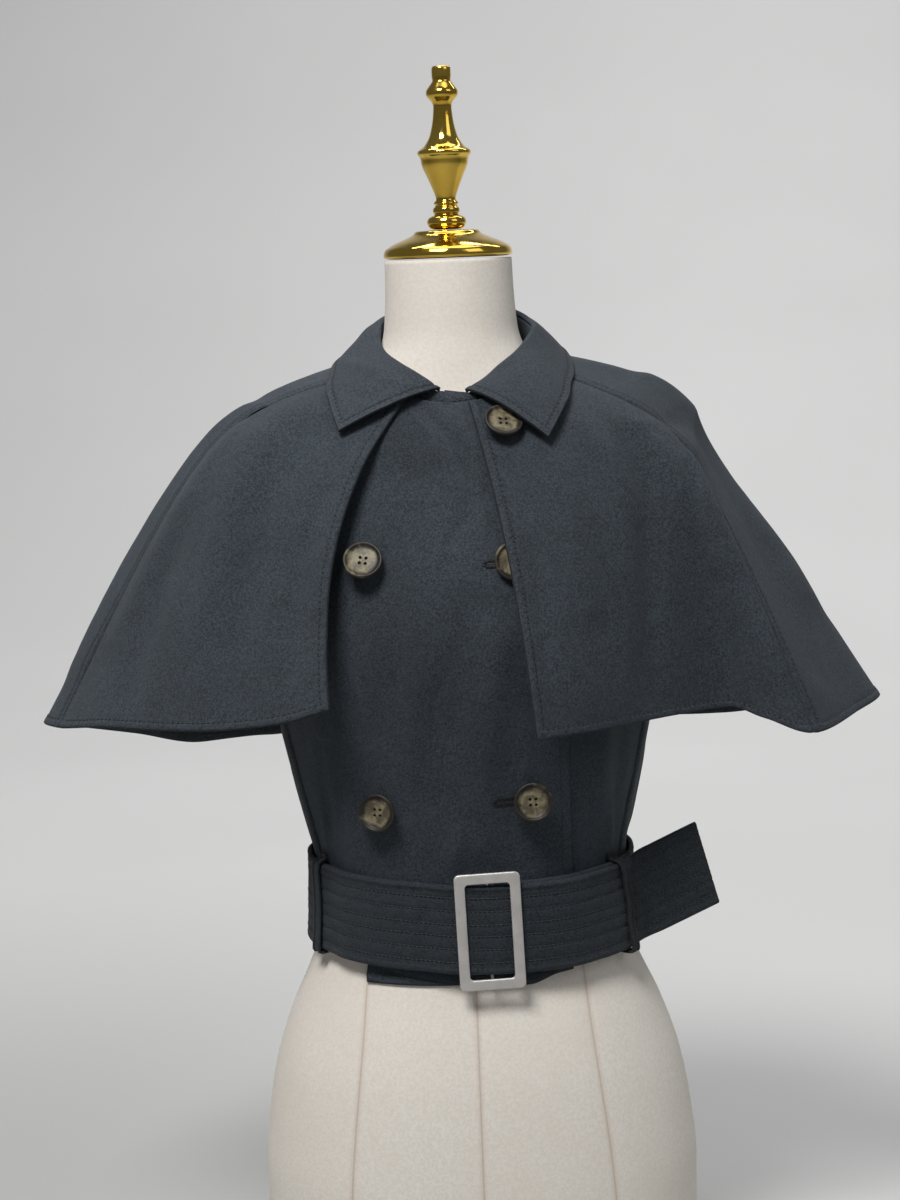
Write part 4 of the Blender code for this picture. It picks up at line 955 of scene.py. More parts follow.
def linen_material():
    """Cream linen cover: crossed uneven threads, faint slubs and slight yellowing."""
    nodes = Nodes("linen_cover")
    x, y, z = nodes.axes()
    around = nodes.math("ARCTAN2", x, nodes.math("MULTIPLY", y, -1.0))
    wobble = nodes.math("MULTIPLY", nodes.noise(240.0, 2.0), 2.2)
    warp = nodes.math("SINE", nodes.math("MULTIPLY_ADD", around, LINEN_THREADS_ROUND, wobble))
    weft = nodes.math("SINE", nodes.math("MULTIPLY_ADD", z, 2 * math.pi / LINEN_PITCH, wobble))
    slubs = nodes.noise(420.0, 4.0, 0.65)
    drift = nodes.ranged(nodes.noise(7.0, 3.0), 0.3, 0.72, 0.0, 0.5)
    colour = nodes.mixed(nodes.ranged(slubs, 0.35, 0.65), (0.80, 0.745, 0.67), (0.88, 0.835, 0.77))
    colour = nodes.mixed(drift, colour, (0.78, 0.70, 0.615))
    seam = nodes.edge()
    colour = nodes.mixed(nodes.ranged(seam, 0.0042, 0.0, 0.0, 0.30), colour, (0.60, 0.44, 0.34))
    colour = nodes.mixed(nodes.ranged(seam, 0.0012, 0.0, 0.0, 0.40), colour, (0.40, 0.30, 0.23))
    weave = nodes.bump(nodes.math("MULTIPLY", warp, weft), 0.00016, 0.7)
    normal = nodes.bump(slubs, 0.0004, 0.5, weave)
    return nodes.shaded(colour, 0.88, Normal=normal, Specular_IOR_Level=0.2, Sheen_Weight=0.12)


def gold_material():
    nodes = Nodes("polished_gold")
    smear = nodes.ranged(nodes.noise(34.0, 4.0, 0.6), 0.35, 0.7)
    colour = nodes.mixed(smear, (0.86, 0.585, 0.105), (0.74, 0.47, 0.07))
    roughness = nodes.ranged(nodes.noise(60.0, 5.0, 0.7), 0.3, 0.75, 0.05, 0.2)
    normal = nodes.bump(nodes.noise(700.0, 2.0), 0.00012, 0.15)
    return nodes.shaded(colour, roughness, Metallic=1.0, Normal=normal)


def satin_material():
    """Satin nickel, faintly clouded and brushed along the frame's height."""
    nodes = Nodes("satin_nickel")
    stretched = nodes.node("Mapping", {"Vector": nodes.place, "Scale": (1400.0, 1400.0, 60.0)}).outputs[0]
    brushed = nodes.noise(1.0, 3.0, 0.6, vector=stretched)
    cloudy = nodes.ranged(nodes.noise(90.0), 0.3, 0.7)
    colour = nodes.mixed(cloudy, (0.60, 0.575, 0.555), (0.68, 0.655, 0.635))
    roughness = nodes.ranged(brushed, 0.3, 0.7, 0.42, 0.56)
    return nodes.shaded(colour, roughness, Metallic=0.75, Normal=nodes.bump(brushed, 0.00004, 0.35))


def horn_material():
    """Imitation horn: a clouded olive middle and broken dark streaks round the rim."""
    nodes = Nodes("mottled_horn")
    cloud = nodes.noise(62.0, 3.0, 0.5, 1.2)
    streak = nodes.ranged(nodes.noise(150.0, 4.0, 0.6, 0.6), 0.35, 0.65)
    grain = nodes.noise(900.0, 3.0, 0.6)
    colour = nodes.mixed(streak, (0.066, 0.055, 0.035), (0.205, 0.178, 0.108))
    dark = nodes.ranged(nodes.math("MULTIPLY_ADD", nodes.edge(), 0.44, cloud), 0.60, 0.92)
    colour = nodes.mixed(dark, colour, (0.018, 0.015, 0.012))
    colour = nodes.mixed(nodes.ranged(grain, 0.45, 0.8, 0.0, 0.25), colour, (0.07, 0.055, 0.042))
    roughness = nodes.ranged(grain, 0.3, 0.7, 0.42, 0.56)
    return nodes.shaded(
        colour, roughness, Specular_IOR_Level=0.30, Coat_Weight=0.03, Coat_Roughness=0.25
    )


# ---- Pieces ----

FRONT_HEM_SCALE = 8 / 6
COLLAR_HEM_SCALE = 4.5 / 6
LOOP_HEM_SCALE = 0.36
NO_EDGE = 1.0
# distance between a sheet's points, or (across, along)
FRONT_STEP = 0.0023
BACK_STEP = 0.0026
CAPE_FRONT_STEP = 0.0021
CAPE_BACK_STEP = 0.0032
STAND_STEP = 0.0022
FALL_STEP = 0.0019
BELT_STEPS = (0.0026, 0.00125)
LOOP_STEPS = (0.0006, 0.0012)
# how far up a side seam its stitching goes, and where its ridges have died out
SEAM_STITCH_TOP = 0.68
SEAM_RIDGE_TOP = 0.72
# size of the cloth's slow and quick unevenness, and their heights
UNEVENNESS = ((0.034, 0.00035), (0.011, 0.00010))
BELT_RIM_ROUNDING = 0.0009
BELT_TROUGH = 0.0004

jacket_dark = (0.0095, 0.0135, 0.0180)
jacket_light = (0.051, 0.0655, 0.082)
jacket_rubbed = (0.080, 0.096, 0.112)
cloth_material = twill_material("jacket_twill", jacket_dark, jacket_light, jacket_rubbed)
belt_material = twill_material(
    "belt_twill", scaled(jacket_dark, 0.62), scaled(jacket_light, 0.62), scaled(jacket_rubbed, 0.7)
)
thread_material = plain_thread_material("matching_thread", (0.036, 0.045, 0.054))
# near-black painted shade, for the dots that stand for needle holes
hole_shade_material = plain_thread_material("needle_hole_shade", (0.0035, 0.0042, 0.005))
linen = linen_material()
gold = gold_material()
satin = satin_material()
horn = horn_material()


def taken(piece, node):
    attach(piece, "root")
    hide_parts(node)
    return piece


class Cloth:
    """One cloth piece: its sheet, the relief on it, and the stitching that goes with it."""

    def __init__(self, node, sheet, thickness, fold, relief, hem, seed):
        self.node = node
        self.sheet = sheet
        self.hem = hem
        self.normal = sheet.normals()
        slow, quick = UNEVENNESS
        fold = fold + sheet.uneven(*slow, seed) + sheet.uneven(*quick, seed + 3)
        self.inner = sheet.points + self.normal * fold[..., None]
        wall = hem_thickness(hem, thickness) + relief
        self.outer = self.inner + self.normal * wall[..., None]
        self.thread = Thread()

    def stitch(self, *sides, mark=STITCH_MARK, low=STITCH_MARK, high=-STITCH_MARK, pitch=STITCH_PITCH):
        """Sew along the outer face parallel to the sides named, from one row or column to another."""
        for side in sides:
            pick = {
                "left": np.s_[low:high, mark],
                "right": np.s_[low:high, -1 - mark],
                "start": np.s_[mark, low:high],
                "end": np.s_[-1 - mark, low:high],
            }[side]
            normals = self.normal[pick]
            self.thread.run(self.outer[pick] + normals * 0.0001, normals, pitch)

    def finish(self, flat, rests_on, area=None, material=cloth_material, rim=ROUND_RIM):
        piece = shell(self.node + "_cloth", self.sheet, self.inner, self.outer, material, self.hem, rim)
        taken(piece, self.node)
        if self.thread.count:
            thread = self.thread.piece(self.node + "_stitching")
            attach(thread, "root")
        return piece


def seam_ridge(distance):
    """Seam allowances stitched down beside a seam: two soft ridges with stitching between them."""
    first = bell(distance, 0.0030, 0.0020) * 0.00055
    second = bell(distance, 0.0088, 0.0020) * 0.00035
    return first + second - bell(distance, STITCH_DISTANCE, TROUGH_WIDTH) * 0.00035


def seam_groove(distance):
    """A pressed seam: the cloth rolls down into it."""
    return 0.0013 * bell(distance, 0.0, 0.0010)


# Fronts and back. Each fold: across and along at its start, then at its end, width, height.
RIGHT_FRONT_FOLDS = (
    (72, 98, 62, 75, 6.5, 2.6), (80, 98, 76, 85, 5, -2), (66, 96, 60, 84, 4.5, -1.6),
    (54, 80, 58, 72, 5, -1.8), (71, 65, 51, 31, 15, 3.5), (80, 62, 67, 25, 12, -2.4),
    (48, 60, 40, 42, 12, 3.2), (27, 42, 20, 18, 8, -2.4), (10, 24, 17, 40, 8, 2.6),
    (60, 27, 55, 20, 6, -2.2), (84, 30, 86, 48, 7, -1.6), (6, 21, 10, 30, 5, -1.9),
    (34, 20, 38, 27, 5, -1.9),
)
LEFT_FRONT_FOLDS = (
    (5, 22, 12, 40, 8, 2.4), (14, 24, 20, 46, 9, -2), (24, 30, 30, 56, 10, 2.1),
    (10, 44, 22, 62, 12, 2.4), (8, 19, 10, 27, 5, -1.8),
)
BACK_FOLDS = (
    (6, 22, 14, 46, 10, 2.7), (16, 21, 20, 38, 8, -2.4), (30, 22, 27, 44, 11, 2.7),
    (42, 21, 44, 36, 8, -2.1), (55, 22, 53, 48, 12, 2.7), (68, 21, 71, 40, 9, -2.4),
    (82, 22, 78, 42, 10, 2.7), (93, 20, 90, 36, 7, 1.8), (36, 60, 50, 72, 16, 1.8),
)


def make_front(node, side, reach, hem, lift, folds, seed):
    grid = panel_grid(
        side,
        lambda height: -np.minimum(angle_at_x(reach, height), FRONT_EDGE_LIMIT),
        FRONT_TOP_END,
        FRONT_SIDE_EDGE,
        SmoothTable(hem, 1, MM).number,
        lift,
    )
    free_marks = scaled(HEM_MARKS, FRONT_HEM_SCALE)
    sheet = Sheet(grid, FRONT_STEP, HEM_MARKS, free_marks, HEM_MARKS, PLAIN_MARKS, flip=side < 0)
    free = sheet.right / FRONT_HEM_SCALE
    hem_edge = np.minimum(free, sheet.start)
    low = smooth_step((SEAM_RIDGE_TOP - sheet.along) / 0.1)
    relief = hem_relief(hem_edge) + seam_ridge(sheet.left) * low
    cloth = Cloth(node, sheet, CLOTH, sheet.folds(folds), relief, hem_edge, seed)
    cloth.stitch("right", high=None)
    cloth.stitch("start")
    cloth.stitch("left", high=sheet.row(SEAM_STITCH_TOP))
    return cloth


right_front = make_front(
    "front_right", -1, RIGHT_FRONT_REACH, RIGHT_FRONT_HEM,
    lambda degrees: OVERLAP_LIFT * smooth_step((OVERLAP_START + degrees) / (OVERLAP_START - OVERLAP_END)),
    RIGHT_FRONT_FOLDS, 1,
)
left_front = make_front(
    "front_left", 1, LEFT_FRONT_REACH, LEFT_FRONT_HEM, lambda degrees: 0 * degrees, LEFT_FRONT_FOLDS, 2
)


def back_grid():
    half = panel_grid(
        1,
        lambda height: 180.0 + 0 * height,
        180.0,
        BACK_SIDE_EDGE,
        lambda degrees: SIDE_HEM_HEIGHT + 0 * degrees,
        lambda degrees: 0 * degrees,
    )
    half[:, -1, 0] = 0.0
    mirrored = half[:, -2::-1] * (-1.0, 1.0, 1.0)
    return np.concatenate([half, mirrored], axis=1)


def make_back():
    sheet = Sheet(back_grid(), BACK_STEP, HEM_MARKS, HEM_MARKS, HEM_MARKS, PLAIN_MARKS)
    side = np.minimum(sheet.left, sheet.right)
    low = smooth_step((SEAM_RIDGE_TOP - sheet.along) / 0.1)
    relief = hem_relief(sheet.start) + seam_ridge(side) * low - seam_groove(side)
    centre = np.abs(sheet.u)
    relief += 0.0003 * bell(centre, 0.004, 0.003) - 0.0005 * bell(centre, 0.0, 0.0008)
    cloth = Cloth("back", sheet, CLOTH, sheet.folds(BACK_FOLDS), relief, sheet.start, 3)
    cloth.stitch("start")
    cloth.stitch("left", "right", high=sheet.row(SEAM_STITCH_TOP))
    return cloth


back = make_back()
right_front_piece = right_front.finish((0.33, 0.46), ["dress_form"], 0.106)
left_front.finish((0.33, 0.46), ["dress_form"], 0.108)
back.finish((0.45, 0.46), ["dress_form"], 0.199)


# Cape.
RIGHT_CAPE_FOLDS = (
    (4, 17, 7, 71, 14, 5.4), (52, 23, 41, 86, 16, -4.7), (65, 33, 54, 88, 16, 4),
    (77, 72, 72, 97, 14, -4.3), (30, 16, 26, 52, 11, 2.5), (18, 42, 20, 90, 10, -2.9),
    (90, 38, 88, 92, 13, 3.6),
)
LEFT_CAPE_FOLDS = (
    (2, 58, 6, 96, 15, 5.4), (72, 22, 74, 71, 14, 5.2), (33, 33, 58, 97, 14, -5.4),
    (20, 28, 28, 80, 12, 3.2), (90, 50, 90, 94, 9, -2.5), (50, 20, 54, 56, 10, 2.5),
    (10, 62, 17, 90, 6, 2.2), (17, 52, 25, 84, 6, -2), (5, 40, 12, 60, 6, -1.6),
)
BACK_CAPE_FOLDS = (
    (5, 30, 4, 95, 16, 4.6), (13, 35, 12, 98, 18, -5.5), (24, 25, 21, 92, 20, 6.2),
    (34, 45, 33, 100, 15, -4.9), (45, 22, 44, 90, 22, 5.5), (56, 42, 57, 100, 16, -5.5),
    (66, 28, 68, 94, 20, 6.2), (77, 40, 79, 100, 15, -4.6), (87, 26, 89, 92, 18, 5.9),
    (95, 40, 96, 97, 12, -4.6),
)


def cape_grid(first, last, columns_per_line=9, rows=70):
    line = np.linspace(first, last, (last - first) * columns_per_line + 1)[None, :]
    return cape_point(line, np.linspace(0, 1, rows)[:, None])


def make_cape(node, seed, first, last, step, folds, flat, area):
    free_left, free_right = first == 0, last == CAPE_LAST_LINE
    sheet = Sheet(cape_grid(first, last), step, HEM_MARKS, HEM_MARKS, PLAIN_MARKS, HEM_MARKS)
    hem = sheet.end
    relief = np.zeros_like(sheet.u)
    for free, distance in ((free_left, sheet.left), (free_right, sheet.right)):
        if free:
            hem = np.minimum(hem, distance)
        else:
            relief -= seam_groove(distance)
            if node == "cape_back":
                relief += seam_ridge(distance)
    relief += hem_relief(hem)
    # the folds die out under the collar
    fold = sheet.folds(folds) * smooth_step((sheet.along - 0.06) / 0.2)
    cloth = Cloth(node, sheet, CLOTH, fold, relief, hem, seed)
    cloth.stitch("end")
    under_collar = sheet.row(0.08)
    if free_left or node == "cape_back":
        cloth.stitch("left", low=under_collar)
    if free_right or node == "cape_back":
        cloth.stitch("right", low=under_collar)
    cloth.finish(flat, ["collar_stand", "dress_form"], area)


# node, seed, first and last line, step, folds, flat size, area
CAPE_PANELS = (
    ("cape_front_right", 4, 0, CAPE_RIGHT_SEAM, CAPE_FRONT_STEP, RIGHT_CAPE_FOLDS, (0.30, 0.36), 0.049),
    ("cape_back", 5, CAPE_RIGHT_SEAM, CAPE_LEFT_SEAM, CAPE_BACK_STEP, BACK_CAPE_FOLDS, (0.95, 0.45), 0.25),
    ("cape_front_left", 6, CAPE_LEFT_SEAM, CAPE_LAST_LINE, CAPE_FRONT_STEP, LEFT_CAPE_FOLDS,
     (0.30, 0.38), 0.048),
)
for panel in CAPE_PANELS:
    make_cape(*panel)


# Collar.
FALL_FOLDS = (
    (10, 45, 22, 75, 9, 1.4), (3, 70, 12, 86, 5, -0.8), (30, 40, 40, 80, 14, 1.4),
    (50, 45, 52, 85, 14, -0.8), (62, 40, 70, 80, 14, 1.4), (84, 45, 93, 75, 9, 1.4),
    (90, 60, 98, 84, 5, -0.9), (5, 40, 13, 62, 4, 0.9), (90, 38, 97, 60, 4, 1),
    (86, 50, 91, 74, 4.5, -0.9),
)


def make_collar():
    sheet = Sheet(stand_grid(), STAND_STEP, PLAIN_MARKS, PLAIN_MARKS, BAND_MARKS, PLAIN_MARKS, flip=True)
    relief = -0.0004 * bell(sheet.start, BAND_MARKS[-1], 0.0008)
    stand = Cloth("collar_stand", sheet, COLLAR_CLOTH, 0 * sheet.u, relief, sheet.u * 0 + NO_EDGE, 7)
    stand.stitch("start", mark=len(BAND_MARKS) - 1, low=2, high=-2)
    stand.finish((0.40, 0.030), ["dress_form"], 0.0105)
    marks = scaled(HEM_MARKS, COLLAR_HEM_SCALE)
    sheet = Sheet(fall_grid(), FALL_STEP, marks, marks, PLAIN_MARKS, marks)
    hem = np.minimum(np.minimum(sheet.left, sheet.right), sheet.end) / COLLAR_HEM_SCALE
    fold = sheet.folds(FALL_FOLDS) * smooth_step((sheet.along - 0.25) / 0.2)
    fall = Cloth("collar_fall", sheet, COLLAR_CLOTH, fold, hem_relief(hem), hem, 8)
    fall.stitch("end")
    fall.stitch("left", "right", low=sheet.row(0.30))
    fall.finish((0.52, 0.10), ["collar_stand", "cape_back"], 0.028, rim=LAYERED_RIM)


make_collar()


# Belt. On its sheet, across runs along the strip, and along runs up its height.
BELT_WRINKLES = (
    (2, 5, 2.8, 95, 3, -0.8), (21.5, 10, 22.5, 80, 4, -1), (40, 5, 39.2, 75, 4, 1),
    (56, 20, 57, 95, 4, -1), (70, 5, 70.6, 85, 3.5, 1), (74.2, 10, 73.8, 95, 3, -0.8),
    (77.5, 5, 78.2, 70, 3, 0.8), (86.8, 10, 86.2, 90, 2.8, -0.8), (90.5, 3, 91.1, 97, 3.5, -1.2),
    (95, 30, 96, 90, 4, 1),
)


def make_belt():
    sheet = Sheet(belt_grid(), BELT_STEPS, PLAIN_MARKS, PLAIN_MARKS, PLAIN_MARKS, PLAIN_MARKS)
    wave = np.abs(np.sin(np.pi * (sheet.along * BELT_CHANNELS)))
    relief = BELT_CHANNEL_RISE * wave ** 0.55 - BELT_TROUGH * bell(wave, 0.0, 0.14)
    pucker = sheet.uneven(0.0042, 0.00014, 21) * (1 - wave)
    rim = np.minimum(sheet.start, sheet.end)
    hem = np.minimum(rim + 0.003, NO_EDGE)
    frayed = sheet.uneven(0.0016, 0.0004, 33) * smooth_step((0.004 - sheet.right) / 0.004)
    wall = BELT_CLOTH - BELT_RIM_ROUNDING
    cloth = Cloth("belt", sheet, wall, sheet.folds(BELT_WRINKLES), relief + pucker, hem, 9)
    full = BELT_RIM_ROUNDING * smooth_step((rim - 0.0001) / 0.0008)
    cloth.outer = cloth.outer + cloth.normal * (full + frayed)[..., None]
    for channel in range(1, BELT_CHANNELS):
        row = np.argmin(np.abs(sheet.along[:, 0] - channel / BELT_CHANNELS))
        cloth.stitch("start", mark=row, low=2, high=-2, pitch=0.0034)
    cloth.finish((BELT_WIDTH, 0.975), ["front_right", "back"], material=belt_material)


make_belt()


def make_loops():
    marks = scaled(HEM_MARKS, LOOP_HEM_SCALE)
    for node, loop in (("belt_loop_right", RIGHT_LOOP), ("belt_loop_left", LEFT_LOOP)):
        sheet = Sheet(loop_grid(*loop), LOOP_STEPS, marks, marks, PLAIN_MARKS, PLAIN_MARKS, flip=True)
        hem = np.minimum(sheet.left, sheet.right) / LOOP_HEM_SCALE
        cloth = Cloth(node, sheet, LOOP_CLOTH - 0.0003, 0 * sheet.u, hem_relief(hem) * 0.3, hem, 11)
        cloth.stitch("left", "right", low=3, high=-3, pitch=0.0026)
        cloth.finish((0.0115, 0.095), ["belt"], material=belt_material)


make_loops()


# ---- Buttonholes ----

BUTTONHOLE_LENGTH = 0.031
BUTTONHOLE_PITCH = 0.00062
BUTTONHOLE_HALF_WIDTH = 0.0009
BUTTONHOLE_BAR = 0.0026
BUTTONHOLE_THREAD = 0.00046
SLIT_THREAD = 0.0006
SLIT_RINGS = ((-0.05, -0.0003, 1.0), (1.05, -0.0003, 1.0))
# how far over the front the search for its outer face starts, and how far it goes
SEARCH_START = 0.004
SEARCH_REACH = 0.02
# x and height of the end away from the edge, and rise to the other end
BUTTONHOLES = ((0.0185, 0.6, 0.0008), (0.019, 0.429, 0.0012))


def laid_on_front(tree, x, height, above):
    """Points lying above the right front's outer face, and the form's normals there."""
    degrees = angle_at_x(x, height)
    points = off_form(degrees, height, jacket_outside(degrees, height) + SEARCH_START)
    normals = form_normal(degrees, height)
    result = []
    for point, normal in zip(points, normals):
        hit = tree.ray_cast(Vector(point), Vector(-normal), SEARCH_REACH)[0]
        result.append(hit if hit is not None else point - normal * SEARCH_START)
    return np.array(result) + normals * above, normals


def make_buttonholes():
    """Bars of thread side by side round each slit, and a dark line along it."""
    tree = BVHTree.FromObject(right_front_piece, bpy.context.evaluated_depsgraph_get())
    thread = Thread()
    straight, half = BUTTONHOLE_LENGTH, BUTTONHOLE_HALF_WIDTH
    bend = math.pi * half
    length = 2 * (straight + bend)
    count = round(length / BUTTONHOLE_PITCH)
    bar = np.arange(count)
    place = bar / count * length
    stretches = [place < straight, place < straight + bend, place < 2 * straight + bend]
    centre = np.select(stretches, [place, straight, 2 * straight + bend - place], 0.0)
    right_turn = math.pi / 2 - (place - straight) / half
    left_turn = -math.pi / 2 - (place - 2 * straight - bend) / half
    turn = np.select(stretches, [math.pi / 2, right_turn, -math.pi / 2], left_turn)
    turn = turn + 0.12 * np.sin(bar * 2.4)
    uneven = 0.00022 * np.sin(bar * 1.7) * np.cos(bar * 0.63)
    for x, height, rise in BUTTONHOLES:
        base = height + rise * centre / straight
        ends = []
        for reach in (half * 0.6, half + BUTTONHOLE_BAR + uneven):
            across, up = np.cos(turn) * reach, np.sin(turn) * reach
            points, normals = laid_on_front(tree, x + centre + across, base + up, 0.0003)
            ends.append(points)
        # the bars are drawn in slot 1, the near-black painted shade of the needle holes
        thread.segments(ends[0], ends[1], normals, BUTTONHOLE_THREAD, slot=1)
        share = np.linspace(0, 1, 24)
        points, normals = laid_on_front(tree, x + straight * share, height + rise * share, 0.00015)
        thread.segments(points[:-1], points[1:], normals[1:], SLIT_THREAD, SLIT_RINGS)
    piece = thread.piece("buttonhole_stitching")
    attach(piece, "root")


make_buttonholes()


# ---- Form, cap and finial ----

FORM_COVER_SIDES = 160
FOOT_ROUNDING = 0.004
FOOT_HEIGHT = 0.0055
FORM_SEAM_DEPTH = 0.0006
FORM_SEAM_WIDTH = 0.0011
# the seams stop under the collar
FORM_SEAM_TOP = 0.71
FORM_SEAM_MARK_TOP = 0.705
# height, sideways place of the form's side front and side back seams
FORM_SEAM = SmoothTable(((0, 104), (120, 99), (280, 82), (360, 76), (500, 88), (700, 98)), MM, MM)
# columns of the cover at which its seams lie, in the order of their plan angles
SEAM_COLUMNS = (0, 18, 62, 80, 98, 142, 160)
TURNED_SIDES = 112


def lathed(name, rings, materials, edge=None):
    """A closed piece of stacked rings of points, with a flat face at each end."""
    rows, columns = rings.shape[:2]
    ring = np.arange(columns)
    faces = tube_quads(rows, columns).tolist()
    faces += [ring[::-1].tolist(), (ring + (rows - 1) * columns).tolist()]
    return mesh_piece(name, rings.reshape(-1, 3), faces, materials, edge=edge)


def turned_rings(outline, sides, base=(0.0, 0.0, 0.0)):
    """Rings round an upright axis from an outline of (radius, height)."""
    radius, height = np.array(outline).T[..., None]
    angle = 2 * np.pi * np.arange(sides) / sides
    return np.stack([radius * np.cos(angle), radius * np.sin(angle), height + 0 * angle], -1) + base


def make_form_cover():
    heights = np.concatenate([
        [0.0, 0.0008, 0.0024, 0.0055], np.linspace(0.01, 0.70, 90), np.linspace(0.702, NECK_TOP, 44)
    ])
    place = angle_at_x(FORM_SEAM.number(heights), heights)
    flat = 0 * heights
    seams = np.stack([flat, place, 180 - place, 180 + flat, 180 + place, 360 - place, 360 + flat], -1)
    seams = np.sort(seams, axis=1)
    # the columns are drawn over to the seams, so that each seam has one
    turn = np.array([np.interp(np.arange(FORM_COVER_SIDES), SEAM_COLUMNS, row) for row in seams])
    height = heights[:, None] + 0 * turn
    gap = np.min(np.abs(turn[..., None] - seams[:, None, :]), axis=-1)
    distance = np.radians(gap) * form_radius(turn, height)
    groove = FORM_SEAM_DEPTH * bell(distance, 0.0, FORM_SEAM_WIDTH)
    groove = groove * smooth_step((FORM_SEAM_TOP - height) / 0.02)
    foot = FOOT_ROUNDING * (1 - np.sqrt(1 - (1 - np.clip(height / FOOT_HEIGHT, 0, 1)) ** 2))
    points = form_point(turn, height) - form_normal(turn, height) * (groove + foot)[..., None]
    points[..., 2] = height
    marked = np.where(height < FORM_SEAM_MARK_TOP, distance, NO_EDGE)
    taken(lathed("form_cover", points, [linen], marked.ravel()), "dress_form")


make_form_cover()


def rounded(outline, times=2):
    """Cut the corners of an open outline, keeping its ends."""
    points = np.array(outline)
    for _ in range(times):
        first, second = points[:-1], points[1:]
        cut = np.stack([first * 0.8 + second * 0.2, first * 0.2 + second * 0.8], 1).reshape(-1, 2)
        points = np.concatenate([points[:1], cut, points[-1:]])
    return points


def make_turned(name, node, outline):
    outline = rounded(outline) * MM
    rings = turned_rings(outline[outline[:, 0] > 0.0003], TURNED_SIDES, (0.0, 0.0, NECK_TOP))
    taken(lathed(name, rings, [gold]), node)


make_turned("neck_cap_gilt", "neck_cap", CAP_OUTLINE)
make_turned("finial_gilt", "finial", FINIAL_OUTLINE)


# ---- Buckle ----

# inset from the frame's outer edge, as a share of the band, and depth forwards
BUCKLE_SECTION = (
    (0.04, 0), (0, 0.3), (0, 1.4), (0.02, 1.85), (0.075, 2.1), (0.2, 2.25), (0.5, 2.32), (0.8, 2.25),
    (0.925, 2.1), (0.98, 1.85), (1, 1.4), (1, 0.3), (0.96, 0),
)
CORNER_STEPS = 9
ROD_SIDES = 14
NUB_HALF = 0.0010


def rounded_loop(width, height, radius):
    points = []
    for side_x, side_z, start in ((1, 1, 0), (-1, 1, 90), (-1, -1, 180), (1, -1, 270)):
        for share in np.linspace(0, 1, CORNER_STEPS):
            angle = math.radians(start + 90 * share)
            x = side_x * (width / 2 - radius) + radius * math.cos(angle)
            z = side_z * (height / 2 - radius) + radius * math.sin(angle)
            points.append((x, z))
    return np.array(points)


def rod(start, end, radius):
    """Points of a round rod's two ends."""
    start, end = np.array(start), np.array(end)
    axis = unit(end - start)
    side = unit(np.cross(axis, (1.0, 0.02, 0.01)))
    angle = 2 * np.pi * np.arange(ROD_SIDES)[:, None] / ROD_SIDES
    ring = (side * np.cos(angle) + np.cross(axis, side) * np.sin(angle)) * radius
    return np.concatenate([start + ring, end + ring])


def make_buckle():
    rings = []
    for inset, depth in np.array(BUCKLE_SECTION) * (1, MM):
        radius = BUCKLE_OUTER_RADIUS + (BUCKLE_INNER_RADIUS - BUCKLE_OUTER_RADIUS) * inset
        shrink = 2 * BUCKLE_BAND * inset
        outline = rounded_loop(BUCKLE_WIDTH - shrink, BUCKLE_HEIGHT - shrink, radius)
        rings.append(np.stack([outline[:, 0], np.full(len(outline), -depth), outline[:, 1]], -1))
    rings = np.array(rings)
    index = np.arange(rings[..., 0].size).reshape(rings.shape[:2])
    after, following = np.roll(index, -1, axis=1), np.roll(index, -1, axis=0)
    corner = np.roll(after, -1, axis=0)
    faces = np.stack([index, following, corner, after], -1).reshape(-1, 4).tolist()
    verts = [rings.reshape(-1, 3)]
    # the bar, its two arms to the frame, and the nub that keeps the belt from slipping
    half = BAR_SIZE / 2
    reach = BUCKLE_HEIGHT / 2 - BUCKLE_BAND * 0.6
    depth = BAR_SETBACK + half
    nub = BUCKLE_HEIGHT / 2 - BUCKLE_BAND
    rods = [((0, depth, -reach), (0, depth, reach), half)]
    for arm in (half - reach, reach - half):
        rods.append(((0, 0.0, arm), (0, depth, arm), half))
    rods.append(((0, -NUB_HALF, nub), (0, NUB_HALF, nub), NUB_HALF))
    for start, end, radius in rods:
        ring = np.arange(ROD_SIDES) + sum(len(part) for part in verts)
        verts.append(rod(start, end, radius))
        faces += (tube_quads(2, ROD_SIDES) + ring[0]).tolist()
        faces += [ring[::-1].tolist(), (ring + ROD_SIDES).tolist()]
    piece = mesh_piece("buckle_frame", np.concatenate(verts), faces, [satin])
    piece.data.set_sharp_from_angle(angle=math.radians(50))
    piece.matrix_world = buckle_placement()
    taken(piece, "buckle")


make_buckle()


# ---- Buttons ----

# share of the radius, height
BUTTON_PROFILE = (
    (0.3, 0), (0.78, 0), (0.9, 0.6), (0.965, 1.6), (1, 2.8), (0.995, 3.7), (0.965, 4.4), (0.92, 4.6),
    (0.87, 4.4), (0.82, 3.7), (0.78, 3), (0.68, 2.5), (0.42, 2.3), (0.12, 2.2),
)
# radius and height of the tool that cuts a hole with a countersunk edge
HOLE_TOOL = ((1.1, -2), (1.1, 1.8), (1.25, 2.25), (1.7, 2.6), (3, 4))
BUTTON_ROUND = 72
HOLE_ROUND = 18


